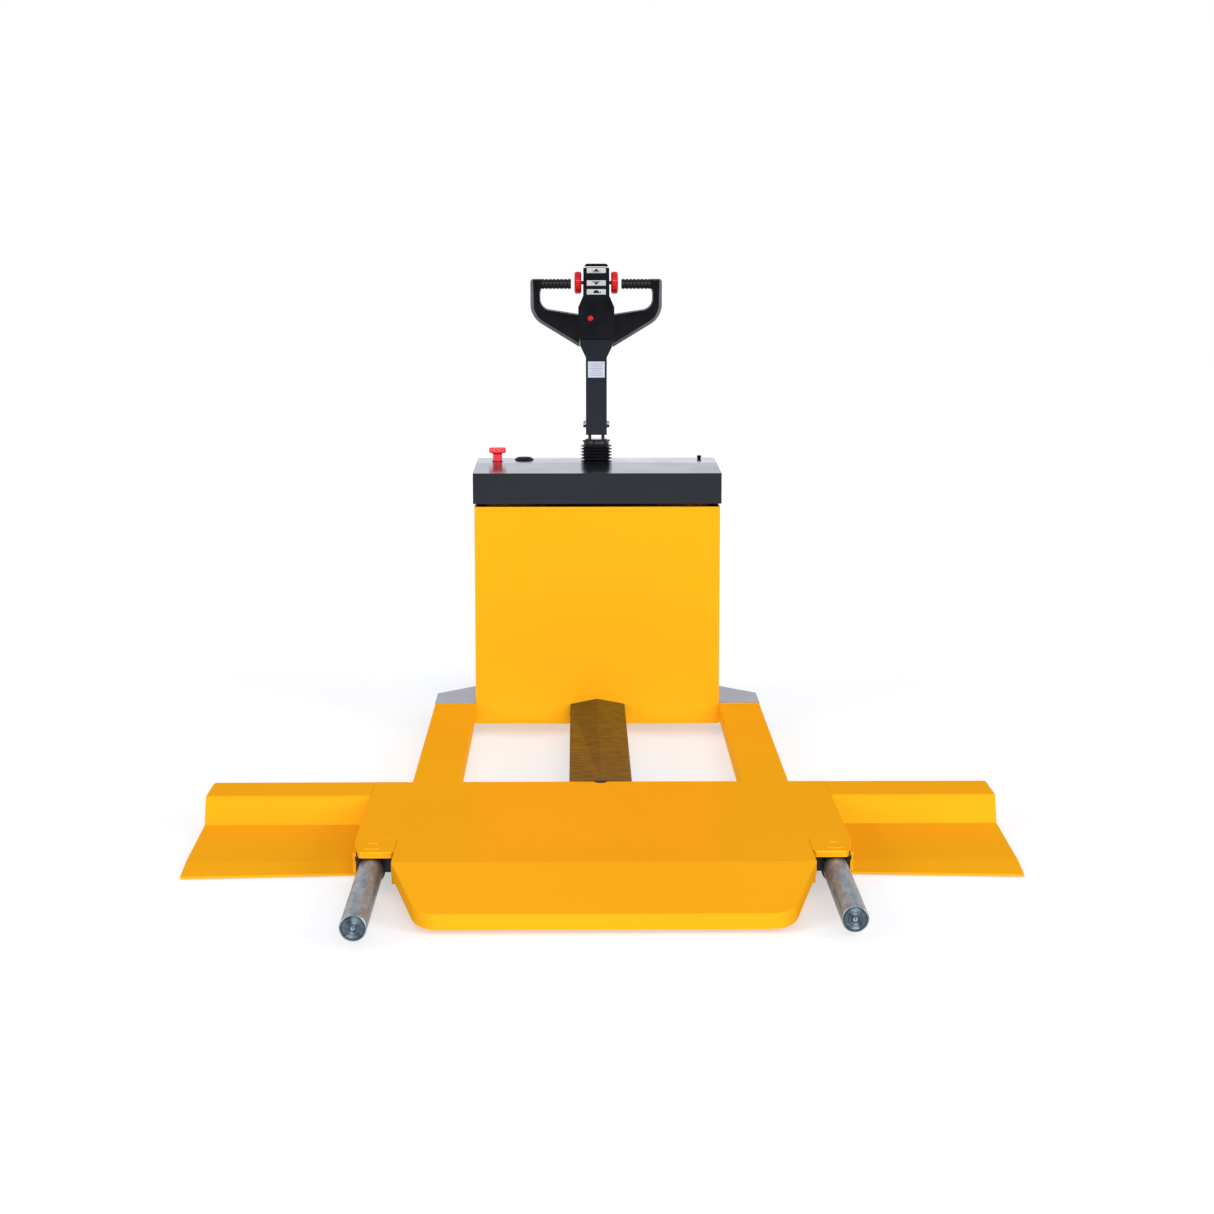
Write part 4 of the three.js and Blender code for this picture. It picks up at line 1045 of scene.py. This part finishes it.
def make_head():
    """Control head: a block with a tapered tower, between two loop handles with chamfered rims."""
    low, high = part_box("control_head")
    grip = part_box("grip_right")
    middle_y = (low.y + high.y) / 2
    back, front = middle_y + 0.014, middle_y - 0.014
    layers = [(back, 0.0), (front + HANDLE_RIM * 0.9, 0.0), (front, HANDLE_RIM)]
    for side, sign in SIDES.items():
        bm = bmesh.new()
        rings = []
        for y, inset in layers:
            outline = handle_outline(high, grip, inset)
            rings.append([bm.verts.new((sign * x, y, z)) for x, z in outline])
        add_skin(bm, rings)
        bmesh.ops.remove_doubles(bm, verts=bm.verts, dist=SAME_PLACE)
        eased(bm, 0.0012, angle=32, segments=2)
        rod = [(0, 0), (0.008, 0), (0.008, 0.0735), (0, 0.0735)]
        add_lathe(bm, rod, "x", (0.0685 if sign > 0 else -0.142, middle_y, 1.122), 32)
        piece = finished("handle_loop_" + side, bm, "tiller", "black_plastic", sharp=32)
        # Painted highlight: the rim's chamfer faces that face down or outwards take a paler copy of the black
        # plastic.
        piece.data.materials.append(MATERIALS["handle_rim_highlight"])
        for polygon in piece.data.polygons:
            out, y = polygon.normal, polygon.center.y
            if y < front + HANDLE_RIM and -0.93 < out.y < -0.3 and (out.z < -0.1 or sign * out.x > 0.5):
                polygon.material_index = 1
    core = bmesh.new()
    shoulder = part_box("tiller_tube")[1].z + 0.0003
    tower_top = high.z
    half = [
        (0.043, shoulder), (0.043, 1.063), (0.0305, 1.092), (0.030, tower_top - 0.0042),
    ]
    ring = half + [(-x, z) for x, z in reversed(half)]
    add_prism(core, "y", ring, low.y, high.y)
    eased(core, 0.0032, angle=20, segments=3)
    add_box(core, (-0.0272, low.y + 0.005, tower_top - 0.006), (0.0272, high.y - 0.0036, tower_top - 0.0002))
    body = finished("head_block", core, "tiller", "black_plastic", sharp=32)
    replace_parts(body, "control_head")
    pockets = bmesh.new()
    for name in ("raise_button", "lower_button", "creep_button"):
        b_low, b_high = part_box(name)
        rim = STRIP_FRAME
        outer = rectangle(b_low.x - rim, b_low.z - rim, b_high.x + rim, b_high.z + rim)
        add_prism(pockets, "y", outer, low.y - 0.0004, low.y + 0.001)
    finished("strip_frames", pockets, "tiller", "black_plastic", sharp=32)


def make_button(node, shape):
    """A pale push strip with a raised generic sign on it."""
    refined(node, 0.0012, segments=3)
    low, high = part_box(node)
    z, front = (low.z + high.z) / 2, low.y
    signs = {
        "raise": [[(-0.007, -0.002), (0.007, -0.002), (0, 0.0045)]],
        "lower": [[(-0.007, 0.002), (0, -0.0045), (0.007, 0.002)]],
        "creep": [arc(0, -0.003, 0.0075, 0, 180, 12), rectangle(0.0085, -0.003, 0.0115, 0)],
    }
    signs["raise"].append(rectangle(-0.011, -0.0042, 0.011, -0.003))
    signs["lower"].append(rectangle(-0.011, 0.003, 0.011, 0.0042))
    bm = bmesh.new()
    for outline in signs[shape]:
        add_prism(bm, "y", [(x, z + h) for x, h in outline], front - 0.0003, front + 0.0004)
    finished(node + "_sign", bm, node, "black_plastic")


def make_grip(side):
    """A ribbed rubber sleeve with rounded ribs and a flat end."""
    node = "grip_" + side
    low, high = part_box(node)
    radius = (high.z - low.z) / 2
    length, ribs = high.x - low.x, 8
    pitch = length / ribs
    profile = [(0.0084, 0.0), (radius - 0.0016, 0.0)]
    for i in range(ribs):
        for k in range(1, 9):
            t = k / 8
            swell = math.sin(math.pi * t) ** 0.6 if t < 1 else 0
            profile.append((radius - 0.0022 + 0.0022 * swell, (i + t) * pitch))
    profile[-1] = (radius - 0.0016, length)
    profile.append((0.0084, length))
    place = (low.x, middle(node).y, middle(node).z)
    grip = lathed(node + "_sleeve", profile, "x", place, "tiller", "grip_rubber", 48)
    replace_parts(grip, node)


def make_throttle():
    """The red butterfly: two dished wheels with finger notches on one black shaft."""
    low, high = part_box("throttle_butterfly")
    centre = middle("throttle_butterfly")
    radius = (high.z - low.z) / 2
    inner, outer = 0.038, high.x
    bm = bmesh.new()
    for sign in (-1, 1):
        line = [(0.0045, inner), (radius - 0.004, inner), (radius, inner + 0.003), (radius, outer - 0.003)]
        line += [(radius - 0.004, outer), (radius - 0.009, outer)]
        line += [(radius - 0.012, outer - 0.0035), (0.009, outer - 0.0035)]
        line += [(0.007, outer - 0.001), (0.0045, outer - 0.001)]
        profile = [(r, sign * x) for r, x in filleted(line, 0.0012, 3)]
        add_lathe(bm, profile, "x", (0, centre.y, centre.z), 96)
    for vert in bm.verts:
        y, z = vert.co.y - centre.y, vert.co.z - centre.z
        reach = math.hypot(y, z)
        if reach > radius - 0.006:
            notch = 1 - 0.018 * (0.5 + 0.5 * math.cos(16 * math.atan2(z, y)))
            vert.co.y, vert.co.z = centre.y + y * notch, centre.z + z * notch
    wheels = finished("throttle_wheels", bm, "throttle", "red_plastic", sharp=35)
    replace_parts(wheels, "throttle_butterfly")
    shaft = [(0, -inner - 0.0165), (0.0045, -inner - 0.0165), (0.0045, inner + 0.0165), (0, inner + 0.0165)]
    lathed("throttle_shaft", shaft, "x", centre, "throttle", "black_plastic", 32)


def make_horn():
    low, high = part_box("horn_button")
    centre = middle("horn_button")
    radius = (high.x - low.x) / 2
    line = [(radius, high.y), (radius, low.y + 0.0016), (radius * 0.7, low.y + 0.0002), (0.001, low.y)]
    profile = [(0, high.y), *filleted(line, 0.001, 4), (0, low.y)]
    horn = lathed("horn_button_dome", profile, "y", (centre.x, 0, centre.z), "horn_button", "red_plastic", 48)
    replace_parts(horn, "horn_button")


def make_belly_cap():
    """The push cap on top of the head: round shoulders and a skirt at the sides and back of the neck."""
    low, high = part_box("belly_button")
    half, skirt, round_off = high.x, high.z - 0.0080, 0.007
    roof = high.z - 0.0048
    outline = [(half, skirt), *arc(half - round_off, high.z - round_off, round_off, 0, 90, 6)]
    outline += [(-x, z) for x, z in reversed(outline)]
    outline += [(0.002 - half, skirt), (0.002 - half, roof), (half - 0.002, roof), (half - 0.002, skirt)]
    bm = bmesh.new()
    add_prism(bm, "y", outline, low.y, high.y)
    add_box(bm, (0.001 - half, high.y - 0.002, skirt), (half - 0.001, high.y, roof + 0.001))
    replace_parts(finished("belly_cap", bm, "belly_button", "black_plastic", sharp=35), "belly_button")


def make_tiller():
    make_tube()
    make_head()
    for node, shape in (("raise_button", "raise"), ("lower_button", "lower"), ("creep_button", "creep")):
        make_button(node, shape)
    for side in SIDES:
        make_grip(side)
    make_throttle()
    make_horn()
    make_belly_cap()


# ---- Load rollers and casters ------------------------------------------------------------------


def make_roller(side):
    node = "load_roller_" + side
    radius, half = wheel_size(node)
    line = [(0.0085, -half), (0.016, -half), (0.017, -half + 0.0015), (radius - 0.004, -half + 0.0015)]
    line += [(radius, -half + 0.005)]
    profile = filleted(both_sides(line), 0.002)
    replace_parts(lathed(node + "_turned", profile, "x", middle(node), node, "roller_urethane"), node)


def make_caster_wheel(side):
    node = "caster_wheel_" + side
    radius, half = wheel_size(node)
    line = [(0.0045, -half), (0.009, -half), (0.0095, -half + 0.002), (radius - 0.009, -half + 0.002)]
    line += [(radius - 0.008, -half), (radius - 0.003, -half), (radius, -half + 0.004)]
    profile = filleted(both_sides(line), 0.0012, 3)
    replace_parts(lathed(node + "_turned", profile, "x", middle(node), node, "tyre_rubber", 64), node)


def make_running_gear():
    for side in SIDES:
        refined("roller_bracket_" + side, SHEET_EASE)
        refined("push_rod_" + side, 0.0008)
        make_roller(side)
        refined("caster_fork_" + side, 0.001)
        make_caster_wheel(side)


# ---- Everything --------------------------------------------------------------------------------

make_camera()
make_world()
make_sun("key", 1.65, 26, 68, 6)
make_sun("left side", 1.45, 30, 70, -54)
make_sun("right side", 1.6, 30, 70, 54)
make_floor()
make_fork_frame()
make_chassis()
make_boot()
make_wheel_parts()
make_tiller_joint()
make_tiller()
make_running_gear()

bpy.context.scene.view_settings.view_transform = "Standard"
